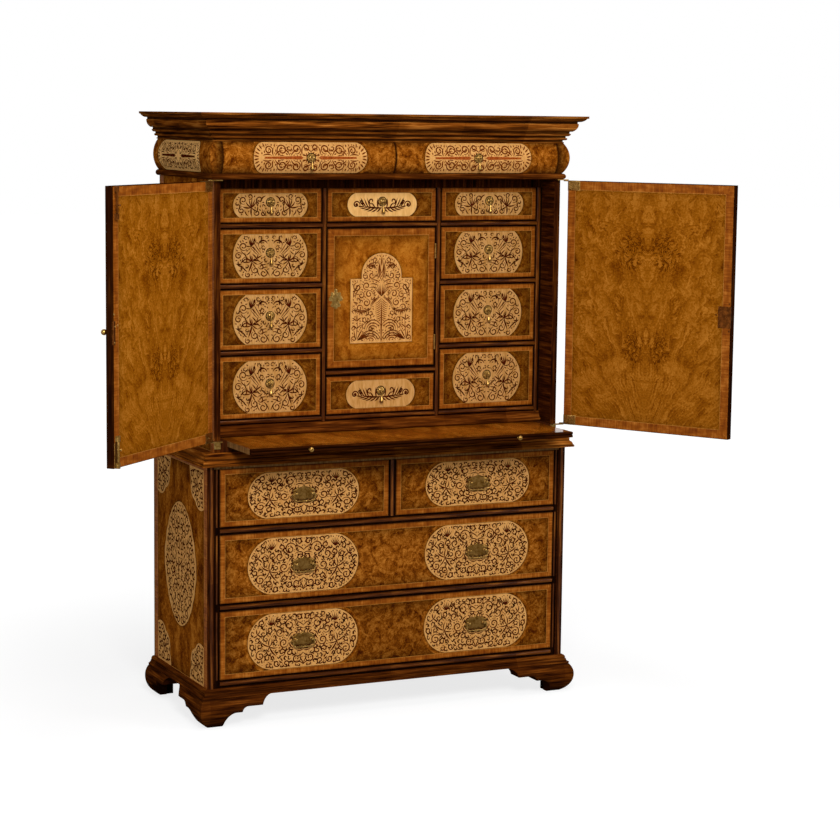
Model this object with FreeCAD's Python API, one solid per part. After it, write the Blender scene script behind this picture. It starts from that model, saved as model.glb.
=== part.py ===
import FreeCAD, Part
import os
from FreeCAD import Vector

# Escritoire: a cabinet with two doors, a fitted interior and a writing slide, on a chest of drawers
# X runs to the right, Y to the back, Z up.
# The chest's front is at y = 0, its middle at x = 0 and the floor at z = 0.
# All lengths are in millimetres and all angles in degrees.

# Lower chest
chest_width = 1100.0
chest_depth = 440.0
chest_side_thickness = 20.0
chest_stile_width = 36.0
chest_rail_height = 22.0
chest_rail_depth = 40.0
bottom_rail_height = 22.0
chest_top_thickness = 20.0
dust_board_thickness = 10.0
guide_height = 24.0
centre_stile_width = 22.0
long_lower_height = 190.0
long_upper_height = 190.0
short_height = 160.0
back_panel_thickness = 8.0

# Feet and mouldings of the chest
foot_height = 84.0
foot_bulge = 29.0
foot_shoulder = 16.0
foot_toe_inset = 2.0
bracket_thickness = 22.0
bracket_length = 186.0
foot_block_size = 60.0
base_moulding_height = 24.0
base_moulding_reach = 18.0
waist_lip = 9.0
waist_height = 34.0
waist_reach = 20.0

# Upper cabinet
cabinet_inset = 25.0
cabinet_setback = 14.0
cabinet_back_overhang = 15.0
cabinet_side_thickness = 18.0
cabinet_floor_thickness = 15.0
cover_board_thickness = 12.0
nest_plinth_height = 17.5
nest_setback = 71.0
nest_side_thickness = 21.0
nest_shelf_thickness = 18.0
nest_lintel_height = 22.5
centre_opening_width = 332.0
centre_shelf_thickness = 22.0
nest_row_heights = (172.0, 164.0, 147.0, 93.0)
centre_drawer_height = 106.0
frieze_floor_thickness = 16.0
frieze_height = 86.0
frieze_ceiling_thickness = 16.0
frieze_bulge = 19.0
frieze_divider_thickness = 6.0
frieze_moulding_reach = 12.0
cornice_height = 76.0
cornice_reach = 58.0
cornice_back_overhang = 8.0
cornice_top_thickness = 16.0

# Beads
bead_recess = 3.0
chest_bead_radius = 6.5
stile_bead_radius = 5.0
stile_edge_bead_radius = 3.0
nest_bead_radius = 6.0

# Writing slide
slide_guide_width = 20.3
slide_depth = 400.0
slide_thickness = 16.0
slide_edge_depth = 10.0
slide_quirk = 1.0
slide_out = 160.0
slide_knob_spacing = 630.0
slide_knob_radius = 7.0
slide_knob_length = 13.0
slide_clearance = 0.3
slide_cover_gap = 0.7
slide_side_gap = 0.7

# Doors
door_thickness = 22.0
door_gap = 0.5
door_meeting_gap = 2.0
door_floor_gap = 1.7
left_door_angle = 138.0
right_door_angle = 120.7
pivot_offset = 12.7
pivot_pin_radius = 2.5
running_fit = 0.05
hinge_eye_radius = 7.0
hinge_leaf_thickness = 2.6
hinge_gap = 0.4
hinge_face_length = 40.0
hinge_face_height = 28.0
hinge_face_thickness = 1.5
hinge_foot_height = 20.0

# Lock, knobs and bolts of the doors
lock_height_above_door_foot = 338.0
lock_width = 39.0
lock_case_height = 59.0
lock_depth = 12.0
lock_bolt_height = 16.0
lock_bolt_thickness = 5.0
lock_bolt_length = 24.0
lock_bolt_travel = 8.0
lock_clearance = 0.3
knob_radius = 8.0
knob_length = 22.0
knob_edge_distance = 17.0
bolt_radius = 3.0
bolt_length = 82.0
bolt_edge_distance = 13.0
bolt_stand_off = 5.0
bolt_travel = 10.0
bolt_bracket_height = 14.0
bolt_bracket_width = 14.0
bolt_clearance = 0.3

# Cupboard in the middle of the interior
cupboard_door_thickness = 16.0
cupboard_gap = 1.5
butt_height = 42.0
butt_leaf_thickness = 0.7
butt_leaf_depth = 12.0
butt_knuckle_radius = 2.4
butt_pin_radius = 1.2
butt_end_distance = 44.0
escutcheon_width = 40.0
escutcheon_height = 56.0
escutcheon_thickness = 1.5
escutcheon_edge_distance = 25.0

# Drawers
drawer_clearance = 0.5
drawer_face_proud = 2.0
drawer_back_gap = 40.0
chest_front_thickness = 20.0
nest_front_thickness = 14.0
chest_wall = 12.0
nest_wall = 8.0
drawer_floor_thickness = 6.0
drawer_floor_lift = 3.0
drawer_wall_drop = 6.0

# Pear-drop pulls
rosette_radius = 12.0
rosette_thickness = 2.0
boss_radius = 6.5
boss_thickness = 2.0
drop_pin_radius = 1.0
drop_pin_stand_off = 8.0
drop_cheek_gap = 3.8
drop_cheek_thickness = 1.2
drop_eye_radius = 2.6
drop_eye_width = 3.2
drop_length = 34.0
drop_belly_radius = 4.8
drop_neck_radius = 1.5

# Bail handles
plate_width = 74.0
plate_height = 46.0
plate_thickness = 2.0
bail_post_spacing = 48.0
bail_post_radius = 4.0
bail_post_length = 9.0
bail_pin_radius = 1.8
bail_stand_off = 7.0
bail_rod_radius = 2.4
bail_arm_gap = 1.2
bail_drop = 20.0
bail_bend_radius = 9.0
chest_handle_offset = 268.0

# Levels worked out from the heights above
base_top = foot_height + base_moulding_height
lower_bottom = base_top + bottom_rail_height
lower_top = lower_bottom + long_lower_height
upper_bottom = lower_top + chest_rail_height
upper_top = upper_bottom + long_upper_height
short_bottom = upper_top + chest_rail_height
short_top = short_bottom + short_height
chest_top = short_top + chest_top_thickness
waist_bottom = short_top + waist_lip
waist_top = waist_bottom + waist_height
slide_floor = waist_top + cabinet_floor_thickness
slide_bottom = slide_floor + slide_clearance
slide_top = slide_bottom + slide_thickness
cover_bottom = slide_top + slide_cover_gap
cover_top = cover_bottom + cover_board_thickness
nest_floor = cover_top + nest_plinth_height + nest_shelf_thickness
nest_rows = []
level = nest_floor
for row_height in nest_row_heights:
    nest_rows.append((level, level + row_height))
    level += row_height + nest_shelf_thickness
nest_top = nest_rows[-1][1]
centre_drawer_top = nest_floor + centre_drawer_height
cupboard_bottom = centre_drawer_top + centre_shelf_thickness
cupboard_top = nest_rows[2][1]
door_bottom = slide_top + door_floor_gap
door_top = nest_top + nest_lintel_height
frieze_floor_bottom = door_top + hinge_gap + hinge_leaf_thickness
frieze_bottom = frieze_floor_bottom + frieze_floor_thickness
frieze_top = frieze_bottom + frieze_height
ceiling_top = frieze_top + frieze_ceiling_thickness
cornice_top = frieze_top + cornice_height
top_board_bottom = cornice_top - cornice_top_thickness

# Widths and depths worked out from the sizes above
chest_half = chest_width / 2
chest_inner = chest_half - chest_side_thickness
opening_half = chest_half - chest_stile_width
centre_stile_half = centre_stile_width / 2
chest_back = chest_depth - back_panel_thickness
cabinet_half = chest_half - cabinet_inset
cabinet_inner = cabinet_half - cabinet_side_thickness
cabinet_back = chest_depth + cabinet_back_overhang
cabinet_board_back = cabinet_back - back_panel_thickness
nest_front = cabinet_setback + nest_setback
nest_board_front = nest_front + bead_recess
nest_half = cabinet_inner - nest_side_thickness
centre_half = centre_opening_width / 2
column_inner = centre_half + nest_shelf_thickness
slide_half = cabinet_inner - slide_guide_width - slide_side_gap
slide_front = -slide_out
pivot_x = cabinet_half + pivot_offset
door_back = cabinet_setback - door_gap
door_face = door_back - door_thickness
pivot_y = door_back - door_thickness / 2
lock_level = door_bottom + lock_height_above_door_foot


def board(x, y, z):
    """A plain board between its low and high side on each axis."""
    corner = Vector(x[0], y[0], z[0])
    return Part.makeBox(x[1] - x[0], y[1] - y[0], z[1] - z[0], corner)


def flat(place, start, *moves):
    """A closed flat face: a move is a point for a line, or (point on the way, end) for an arc."""
    edges = []
    here = start
    last = moves[-1][-1] if isinstance(moves[-1][0], tuple) else moves[-1]
    closing = () if last == start else (start,)
    for move in moves + closing:
        if isinstance(move[0], tuple):
            way, end = move
            edges.append(Part.Arc(place(*here), place(*way), place(*end)).toShape())
        else:
            end = move
            edges.append(Part.makeLine(place(*here), place(*end)))
        here = end
    return Part.Face(Part.Wire(edges))


def mirrored(shape):
    """The same piece on the other side of the middle."""
    return shape.mirror(Vector(0, 0, 0), Vector(1, 0, 0))


def both_sides(shape):
    """A right-hand piece and its left-hand twin."""
    return [shape, mirrored(shape)]


def pin(radius, length, start, direction):
    """A round pin from a start point along a direction."""
    return Part.makeCylinder(radius, length, Vector(*start), Vector(*direction))


def prism(points, z):
    """An upright prism over a plan outline, between two levels."""
    corners = [Vector(x, y, z[0]) for x, y in points]
    face = Part.Face(Part.makePolygon(corners + corners[:1]))
    return face.extrude(Vector(0, 0, z[1] - z[0]))


def mitred_runs(profile, half, front, back, reach, levels):
    """Front, right and left runs of a moulding on a case, mitred at the two front corners.

    The profile is (out, level): out is counted from the face that the run is fixed to."""
    far = half + reach
    inside = half / 2
    across = flat(lambda out, z: Vector(-far, front - out, z), *profile).extrude(Vector(2 * far, 0, 0))
    along = flat(lambda out, z: Vector(half + out, front - reach, z), *profile)
    along = along.extrude(Vector(0, back - front + reach, 0))
    front_plan = [(-far, front - reach), (far, front - reach), (half - inside, front + inside),
                  (-half + inside, front + inside)]
    side_plan = [(far, front - reach), (far, back), (half - inside, back),
                 (half - inside, front + inside)]
    front_run = across.common(prism(front_plan, levels))
    right_run = along.common(prism(side_plan, levels))
    return [front_run] + both_sides(right_run)


def half_round(radius):
    """The outline of a half-round bead, from one edge over its crown to the other."""
    return (-radius, 0.0), ((0.0, -radius), (radius, 0.0))


def bead_across(x, face, level, radius):
    """A half-round bead along X on an upright face."""
    end = flat(lambda a, b: Vector(x[0], face + b, level + a), *half_round(radius))
    return end.extrude(Vector(x[1] - x[0], 0, 0))


def bead_upright(x, face, levels, radius):
    """A half-round bead along Z on an upright face."""
    end = flat(lambda a, b: Vector(x + a, face + b, levels[0]), *half_round(radius))
    return end.extrude(Vector(0, 0, levels[1] - levels[0]))


def save(name, solids):
    """Write one node, which holds one or more separate solids."""
    pieces = []
    for solid in solids:
        pieces += solid.Solids
    shape = pieces[0] if len(pieces) == 1 else Part.makeCompound(pieces)
    shape.exportStep("parts/" + name + ".step")


os.makedirs("parts", exist_ok=True)

# Lower chest: sides, frame, boards
side_levels = (foot_height, chest_top)
chest_side = board((chest_inner, chest_half), (0, chest_back), side_levels)
outer_stile_bead = chest_half - chest_side_thickness / 2 - bead_recess / 2
side_bead = bead_upright(outer_stile_bead, 0, (base_top, waist_bottom), stile_bead_radius)
save("chest_sides", both_sides(chest_side) + both_sides(side_bead))

rails = [
    ((foot_height, lower_bottom), bottom_rail_height),
    ((lower_top, upper_bottom), chest_rail_height),
    ((upper_top, short_bottom), chest_rail_height),
]
frame = []
for levels, visible in rails:
    frame.append(board((-chest_inner, chest_inner), (bead_recess, chest_rail_depth), levels))
    bead_level = levels[1] - visible / 2
    frame.append(bead_across((-opening_half, opening_half), bead_recess, bead_level, chest_bead_radius))
rows = [(lower_bottom, lower_top), (upper_bottom, upper_top), (short_bottom, short_top)]
edge_bead_middle = (opening_half + chest_inner) / 2
for levels in rows:
    guide_levels = (levels[0], levels[0] + guide_height)
    stile = board((opening_half, chest_inner), (bead_recess, chest_rail_depth), levels)
    guide = board((opening_half, chest_inner), (chest_rail_depth, chest_back), guide_levels)
    edge_bead = bead_upright(edge_bead_middle, bead_recess, levels, stile_edge_bead_radius)
    frame += both_sides(stile) + both_sides(guide) + both_sides(edge_bead)
middle = (-centre_stile_half, centre_stile_half)
frame.append(board(middle, (bead_recess, chest_rail_depth), rows[2]))
frame.append(board(middle, (chest_rail_depth, chest_back), (short_bottom, short_bottom + guide_height)))
frame.append(bead_upright(0, bead_recess, rows[2], chest_bead_radius))
save("chest_frame", frame)

chest_boards = [board((-chest_inner, chest_inner), (0, chest_back), (short_top, chest_top))]
for levels in rows:
    dust_levels = (levels[0] - dust_board_thickness, levels[0])
    chest_boards.append(board((-chest_inner, chest_inner), (chest_rail_depth, chest_back), dust_levels))
save("chest_boards", chest_boards)

chest_back_panel = board((-chest_half, chest_half), (chest_back, chest_depth), side_levels)
cabinet_levels = (chest_top, top_board_bottom)
cabinet_back_y = (cabinet_board_back, cabinet_back)
cabinet_back_panel = board((-cabinet_half, cabinet_half), cabinet_back_y, cabinet_levels)
save("case_backs", [chest_back_panel, cabinet_back_panel])

# Base moulding: ovolo, fillet, hollow and a plain foot
step = base_moulding_reach / 6
rise = base_moulding_height / 6
base_profile = (
    (0.0, foot_height),
    (base_moulding_reach, foot_height),
    (base_moulding_reach, foot_height + rise),
    ((4.3 * step, foot_height + 1.8 * rise), (3.7 * step, foot_height + 3.2 * rise)),
    (3 * step, foot_height + 3.2 * rise),
    ((2.6 * step, foot_height + 5.2 * rise), (step, base_top)),
    (0.0, base_top),
)
base_levels = (foot_height, base_top)
base_runs = mitred_runs(base_profile, chest_half, 0, chest_depth, 2 * base_moulding_reach, base_levels)
save("base_moulding", base_runs)

# Bracket feet: an ogee section cut to a scrolled outline, with a load block behind each foot
foot_profile = (
    (-bracket_thickness, 0.0),
    (-foot_toe_inset, 0.0),
    ((0.6 * foot_bulge, 0.2 * foot_height), (foot_bulge, 0.62 * foot_height)),
    ((0.86 * foot_bulge, 0.85 * foot_height), (foot_shoulder, foot_height)),
    (-bracket_thickness, foot_height),
)


def bracket_outline(place):
    """The bracket seen square on, from its corner inwards: a toe and three scallops."""
    long = bracket_length
    high = foot_height
    outer = -2 * foot_bulge
    return flat(
        place,
        (outer, 0.0),
        (0.24 * long, 0.0),
        ((0.27 * long, 0.33 * high), (0.39 * long, 0.5 * high)),
        (0.5 * long, 0.5 * high),
        ((0.53 * long, 0.63 * high), (0.6 * long, 0.68 * high)),
        (0.82 * long, 0.68 * high),
        ((0.87 * long, 0.88 * high), (long, high)),
        (outer, high),
    )


feet_runs = mitred_runs(foot_profile, chest_half, 0, chest_depth, 2 * foot_bulge, (0, foot_height))
deep = 4 * foot_bulge
front_cut = bracket_outline(lambda s, z: Vector(chest_half - s, -deep, z))
front_cut = front_cut.extrude(Vector(0, 2 * deep, 0))
side_cut = bracket_outline(lambda s, z: Vector(chest_half - deep, s, z))
side_cut = side_cut.extrude(Vector(2 * deep, 0, 0))
back_cut = bracket_outline(lambda s, z: Vector(chest_half - deep, chest_depth - s, z))
back_cut = back_cut.extrude(Vector(2 * deep, 0, 0))
block_x = (chest_half - bracket_thickness - foot_block_size, chest_half - bracket_thickness)
front_block = board(block_x, (bracket_thickness, bracket_thickness + foot_block_size), (0, foot_height))
back_block = board(block_x, (chest_back - foot_block_size, chest_back), (0, foot_height))
brackets = [feet_runs[0].common(front_cut), feet_runs[1].common(side_cut), feet_runs[1].common(back_cut)]
feet = []
for piece in brackets + [front_block, back_block]:
    feet += both_sides(piece)
save("bracket_feet", feet)

# Waist moulding: three mitred runs round the chest's top, and the flat strips inside them
step = waist_reach / 10
rise = waist_height / 17
waist_profile = (
    (0.0, waist_bottom),
    (waist_reach, waist_bottom),
    (waist_reach, waist_bottom + 3 * rise),
    (8.6 * step, waist_bottom + 3 * rise),
    ((7.2 * step, waist_bottom + 7 * rise), (4.6 * step, waist_bottom + 9 * rise)),
    (4.6 * step, waist_bottom + 10.5 * rise),
    ((3.9 * step, waist_bottom + 14.6 * rise), (step, waist_top)),
    (0.0, waist_top),
)
strip_levels = (chest_top, waist_top)
waist_levels = (waist_bottom, waist_top)
waist = mitred_runs(waist_profile, chest_half, 0, chest_depth, 2 * waist_reach, waist_levels)
waist.append(board((-chest_half, chest_half), (0, cabinet_setback), strip_levels))
waist += both_sides(board((cabinet_half, chest_half), (cabinet_setback, chest_depth), strip_levels))
save("waist_moulding", waist)

# Upper cabinet: sides and boards
inner_x = (-cabinet_inner, cabinet_inner)
inner_y = (cabinet_setback, cabinet_board_back)
front_rail_y = (cabinet_setback, cabinet_setback + cabinet_side_thickness)
cabinet_side = board((cabinet_inner, cabinet_half), inner_y, cabinet_levels)
save("cabinet_sides", both_sides(cabinet_side))

cabinet_floor = board(inner_x, inner_y, (waist_top, slide_floor))
plinth_board = board(inner_x, front_rail_y, (chest_top, waist_top))
cover_board = board(inner_x, (nest_front, cabinet_board_back), (cover_bottom, cover_top))
guide_x = (cabinet_inner - slide_guide_width, cabinet_inner)
slide_guide = board(guide_x, inner_y, (slide_floor, cover_bottom))
lintel = board(inner_x, (nest_board_front, cabinet_board_back), (nest_top, frieze_floor_bottom))
frieze_floor = board(inner_x, inner_y, (frieze_floor_bottom, frieze_bottom))
frieze_ceiling = board(inner_x, inner_y, (frieze_top, ceiling_top))
divider_half = frieze_divider_thickness / 2
frieze_divider_y = (cabinet_setback + chest_front_thickness + drawer_clearance, cabinet_board_back)
frieze_divider = board((-divider_half, divider_half), frieze_divider_y, (frieze_bottom, frieze_top))
cornice_rail = board(inner_x, front_rail_y, (ceiling_top, top_board_bottom))
socket_x = -door_meeting_gap / 2 - bolt_edge_distance
socket_y = door_back + bolt_stand_off
socket_radius = bolt_radius + bolt_clearance
socket_depth = bolt_travel + bolt_clearance
top_socket = pin(socket_radius, socket_depth, (socket_x, socket_y, frieze_floor_bottom), (0, 0, 1))
frieze_floor = frieze_floor.cut(top_socket)
lower_boards = [cabinet_floor, plinth_board, cover_board] + both_sides(slide_guide)
upper_boards = [lintel, frieze_floor, frieze_ceiling, frieze_divider, cornice_rail]
save("cabinet_boards", lower_boards + upper_boards)

# Fitted interior: upright partitions and shelves with half-round beads on their front edges
nest_y = (nest_board_front, cabinet_board_back)
partition_levels = (cover_top, nest_top)
outer_partition = board((nest_half, cabinet_inner), nest_y, partition_levels)
inner_partition = board((centre_half, column_inner), nest_y, partition_levels)
bead_middle = (centre_half + column_inner) / 2
bead_levels = (nest_floor - nest_shelf_thickness, nest_top)
partitions = both_sides(outer_partition) + both_sides(inner_partition)
partitions += both_sides(bead_upright(bead_middle, nest_board_front, bead_levels, nest_bead_radius))
outer_bead = nest_half + nest_bead_radius + bead_recess
partitions += both_sides(bead_upright(outer_bead, nest_board_front, bead_levels, nest_bead_radius))

shelf_tops = [row[0] for row in nest_rows]
column_bead_x = (bead_middle + nest_bead_radius, outer_bead - nest_bead_radius)
centre_bead_x = (-bead_middle + nest_bead_radius, bead_middle - nest_bead_radius)
shelves = []
for top in shelf_tops:
    levels = (top - nest_shelf_thickness, top)
    bead_level = top - nest_shelf_thickness / 2
    shelves += both_sides(board((column_inner, nest_half), nest_y, levels))
    shelves += both_sides(bead_across(column_bead_x, nest_board_front, bead_level, nest_bead_radius))
centre_shelves = [(nest_floor - nest_shelf_thickness, nest_floor), (centre_drawer_top, cupboard_bottom),
                  (cupboard_top, nest_rows[3][0])]
for levels in centre_shelves:
    bead_level = (levels[0] + levels[1]) / 2
    shelves.append(board((-centre_half, centre_half), nest_y, levels))
    shelves.append(bead_across(centre_bead_x, nest_board_front, bead_level, nest_bead_radius))
save("nest_frame", partitions + shelves)

# Moulding under the interior: a nosing on the cover board and a hollow above it
plinth_top = nest_floor - nest_shelf_thickness
nosing = cover_board_thickness / 2
hollow_way = (nest_front - 0.4 * nosing, cover_top + 0.4 * nest_plinth_height)
plinth_face = (
    (nest_board_front, cover_top),
    (nest_front, cover_top),
    (nest_front, cover_bottom),
    (nest_front - nosing, cover_bottom),
    ((nest_front - 2 * nosing, cover_bottom + nosing), (nest_front - nosing, cover_top)),
    (hollow_way, (nest_front + 0.3 * bead_recess, plinth_top)),
    (nest_board_front, plinth_top),
)
plinth = flat(lambda y, z: Vector(-cabinet_inner, y, z), *plinth_face)
save("nest_base_moulding", [plinth.extrude(Vector(2 * cabinet_inner, 0, 0))])

# Frieze: cushion-shaped sides with short returns on the front, and a small moulding below
cushion_foot = 3.0
cushion_head = 5.0
cushion_profile = (
    (0.0, frieze_bottom),
    (cushion_foot, frieze_bottom),
    ((frieze_bulge, frieze_bottom + frieze_height / 2), (cushion_head, frieze_top)),
    (0.0, frieze_top),
)
frieze_levels = (frieze_bottom, frieze_top)
far_out = 2 * frieze_bulge
cushion = mitred_runs(cushion_profile, cabinet_half, cabinet_setback, cabinet_back, far_out, frieze_levels)
return_x = (cabinet_inner, cabinet_half + far_out)
return_y = (cabinet_setback - far_out, cabinet_setback)
corner_return = cushion[0].common(board(return_x, return_y, frieze_levels))

small_reach = frieze_moulding_reach
small_middle = (frieze_floor_bottom + frieze_bottom) / 2
small_profile = (
    (0.0, frieze_floor_bottom),
    (0.5 * small_reach, frieze_floor_bottom),
    ((small_reach, small_middle), (0.5 * small_reach, frieze_bottom)),
    (0.0, frieze_bottom),
)
small_levels = (frieze_floor_bottom, frieze_bottom)
far_out = 2 * small_reach
small_runs = mitred_runs(small_profile, cabinet_half, cabinet_setback, cabinet_back, far_out, small_levels)
save("frieze_mouldings", cushion[1:] + both_sides(corner_return) + small_runs)

# Cornice: ovolo, hollow, large ovolo, fillet and a flaring cap
step = cornice_reach / 58
rise = cornice_height / 76
cornice_profile = (
    (0.0, frieze_top),
    (5 * step, frieze_top),
    ((11.5 * step, frieze_top + 5 * rise), (14 * step, frieze_top + 14 * rise)),
    (15 * step, frieze_top + 18 * rise),
    ((20 * step, frieze_top + 28 * rise), (28 * step, frieze_top + 36 * rise)),
    ((35 * step, frieze_top + 46 * rise), (38 * step, frieze_top + 61 * rise)),
    (41 * step, frieze_top + 62 * rise),
    ((51 * step, frieze_top + 65 * rise), (cornice_reach, cornice_top - 3 * rise)),
    (cornice_reach, cornice_top),
    (0.0, cornice_top),
)
cornice_back = cabinet_back + cornice_back_overhang
cornice_levels = (frieze_top, cornice_top)
far_out = 2 * cornice_reach
cornice = mitred_runs(cornice_profile, cabinet_half, cabinet_setback, cornice_back, far_out, cornice_levels)
top_board_y = (cabinet_setback, cornice_back)
cornice.append(board((-cabinet_half, cabinet_half), top_board_y, (top_board_bottom, cornice_top)))
save("cornice", cornice)


def turned_right(shape):
    """A piece of the right door, swung from closed to where it stands open."""
    return shape.rotated(Vector(pivot_x, pivot_y, 0), Vector(0, 0, 1), right_door_angle)


def turned_left(shape):
    """A piece of the left door, drawn on the right, put on the left and swung open."""
    return mirrored(shape).rotated(Vector(-pivot_x, pivot_y, 0), Vector(0, 0, 1), -left_door_angle)


# Knife hinges: a plate with a pin on the carcass, and a leaf with an eye on the door, above and below
door_x = (door_meeting_gap / 2, cabinet_half)
eye_hole_radius = pivot_pin_radius + running_fit
plate_y = (pivot_y - hinge_eye_radius, cabinet_setback)
plate_x = (cabinet_inner, pivot_x)


def carcass_plate(levels, pin_start, pin_direction):
    """A hinge plate at one level, with its pivot pin standing into the door's leaf."""
    strap = board(plate_x, plate_y, levels)
    nose = pin(hinge_eye_radius, levels[1] - levels[0], (pivot_x, pivot_y, levels[0]), (0, 0, 1))
    pin_length = hinge_leaf_thickness + hinge_gap
    pivot = pin(pivot_pin_radius, pin_length, (pivot_x, pivot_y, pin_start), pin_direction)
    return strap.fuse([nose, pivot]).removeSplitter()


bottom_plate_top = door_bottom - hinge_gap
bottom_plate_levels = (bottom_plate_top - hinge_leaf_thickness, bottom_plate_top)
top_plate_levels = (frieze_floor_bottom - hinge_leaf_thickness, frieze_floor_bottom)
top_plate = carcass_plate(top_plate_levels, top_plate_levels[0], (0, 0, -1))
bottom_plate = carcass_plate(bottom_plate_levels, bottom_plate_levels[1], (0, 0, 1))
flange_y = (cabinet_setback - hinge_leaf_thickness, cabinet_setback)
flange_levels = (bottom_plate_levels[0] - hinge_foot_height, bottom_plate_levels[0])
flange = board((cabinet_inner, cabinet_half), flange_y, flange_levels)
bottom_plate = bottom_plate.fuse(flange).removeSplitter()
carcass_brass = both_sides(top_plate) + both_sides(bottom_plate)


def door_leaf(levels, face_levels):
    """A leaf in the door's end, with its eye round the pin, and the plate on the inner face."""
    edge_y = (pivot_y - hinge_eye_radius, door_back)
    strap = board((cabinet_half - hinge_face_length, pivot_x), edge_y, levels)
    nose = pin(hinge_eye_radius, levels[1] - levels[0], (pivot_x, pivot_y, levels[0]), (0, 0, 1))
    hole = pin(eye_hole_radius, levels[1] - levels[0], (pivot_x, pivot_y, levels[0]), (0, 0, 1))
    face_y = (door_back - hinge_face_thickness, door_back)
    face_plate = board((cabinet_half - hinge_face_length, cabinet_half), face_y, face_levels)
    trim_x = (cabinet_half, pivot_x + hinge_eye_radius)
    inner_trim = board(trim_x, (pivot_y + hinge_eye_radius, door_back), levels)
    return strap.fuse([nose, face_plate]).cut(hole).cut(inner_trim).removeSplitter()


top_face_levels = (door_top - hinge_face_height, door_top)
bottom_face_levels = (door_bottom, door_bottom + hinge_face_height)
top_leaf = door_leaf((door_top - hinge_leaf_thickness, door_top), top_face_levels)
bottom_leaf = door_leaf((door_bottom, door_bottom + hinge_leaf_thickness), bottom_face_levels)
door_board = board(door_x, (door_face, door_back), (door_bottom, door_top))
door_board = door_board.cut(top_leaf).cut(bottom_leaf)


def knob(edge_x, level):
    """A turned knob on the door's outer face: neck, ball and a collar against the wood."""
    middle = (edge_x, door_face, level)
    collar = pin(0.75 * knob_radius, 0.15 * knob_length, middle, (0, -1, 0))
    neck = pin(0.4 * knob_radius, 0.7 * knob_length, middle, (0, -1, 0))
    ball = Part.makeSphere(knob_radius, Vector(edge_x, door_face - knob_length + knob_radius, level))
    return collar.fuse([neck, ball]).removeSplitter()


door_knob = knob(door_x[0] + knob_edge_distance, lock_level)

# Right door: the lock's case is let into the inner face, and its bolt runs out of the meeting edge
lock_z = (lock_level - lock_case_height / 2, lock_level + lock_case_height / 2)
lock_x = (door_x[0], door_x[0] + lock_width)
lock_y = (door_back - lock_depth, door_back)
lock_case = board(lock_x, lock_y, lock_z)
bolt_half_height = lock_bolt_height / 2
bolt_middle_y = door_back - lock_depth / 2
bolt_half_thick = lock_bolt_thickness / 2
bolt_x = (door_x[0], door_x[0] + lock_bolt_length)


def lock_bolt_room(x, play):
    """The bolt's own block, or with play the way that it runs in."""
    y = (bolt_middle_y - bolt_half_thick - play, bolt_middle_y + bolt_half_thick + play)
    z = (lock_level - bolt_half_height - play, lock_level + bolt_half_height + play)
    return board(x, y, z)


lock_way = lock_bolt_room((bolt_x[0], bolt_x[1] + lock_clearance), lock_clearance)
right_brass = [top_leaf, bottom_leaf, door_knob, lock_case.cut(lock_way)]
save("right_door", [turned_right(door_board.cut(lock_case))])
save("right_door_brass", [turned_right(piece) for piece in right_brass])
save("lock_bolt", [turned_right(lock_bolt_room(bolt_x, 0))])

# Left door: a strike plate on the meeting edge, and a bolt at the head and the foot of that edge
strike_x = (door_x[0], door_x[0] + lock_bolt_travel + lock_clearance)
strike_case = board(strike_x, lock_y, lock_z)
strike_slot = lock_bolt_room(strike_x, lock_clearance)
bolt_middle_x = door_x[0] + bolt_edge_distance


def bolt_set(end_level, direction):
    """A round bolt that ends level with the door's end, and the two brackets that it runs in."""
    centre = (bolt_middle_x, door_back + bolt_stand_off)
    end = (centre[0], centre[1], end_level)
    inwards = (0, 0, -direction)
    rod = pin(bolt_radius, bolt_length, end, inwards)
    room = pin(bolt_radius + bolt_clearance, bolt_length, end, inwards)
    grip_level = end_level - direction * (bolt_length - 2.5 * bolt_bracket_height)
    grip = pin(0.6 * bolt_radius, 3 * bolt_radius, (centre[0], centre[1], grip_level), (0, 1, 0))
    brackets = []
    for distance in (0.0, bolt_length - bolt_bracket_height):
        near = end_level - direction * distance
        far = near - direction * bolt_bracket_height
        x = (centre[0] - bolt_bracket_width / 2, centre[0] + bolt_bracket_width / 2)
        y = (door_back, centre[1] + bolt_radius + 2)
        block = board(x, y, (min(near, far), max(near, far)))
        brackets.append(block.cut(room))
    return rod.fuse(grip).removeSplitter(), brackets


top_bolt, top_brackets = bolt_set(door_top, 1)
bottom_bolt, bottom_brackets = bolt_set(door_bottom, -1)
left_brass = [top_leaf, bottom_leaf, door_knob, strike_case.cut(strike_slot)]
left_brass += top_brackets + bottom_brackets
save("left_door", [turned_left(door_board.cut(strike_case))])
save("left_door_brass", [turned_left(piece) for piece in left_brass])
save("left_top_bolt", [turned_left(top_bolt)])
save("left_bottom_bolt", [turned_left(bottom_bolt)])

# Cupboard door on two butt hinges at its right-hand edge
cupboard_levels = (cupboard_bottom + cupboard_gap, cupboard_top - cupboard_gap)
cupboard_x = (-centre_half + cupboard_gap, centre_half - cupboard_gap)
cupboard_y = (nest_front, nest_front + cupboard_door_thickness)
cupboard_pivot_x = centre_half - cupboard_gap / 2
cupboard_pivot_y = nest_front - butt_knuckle_radius


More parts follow.
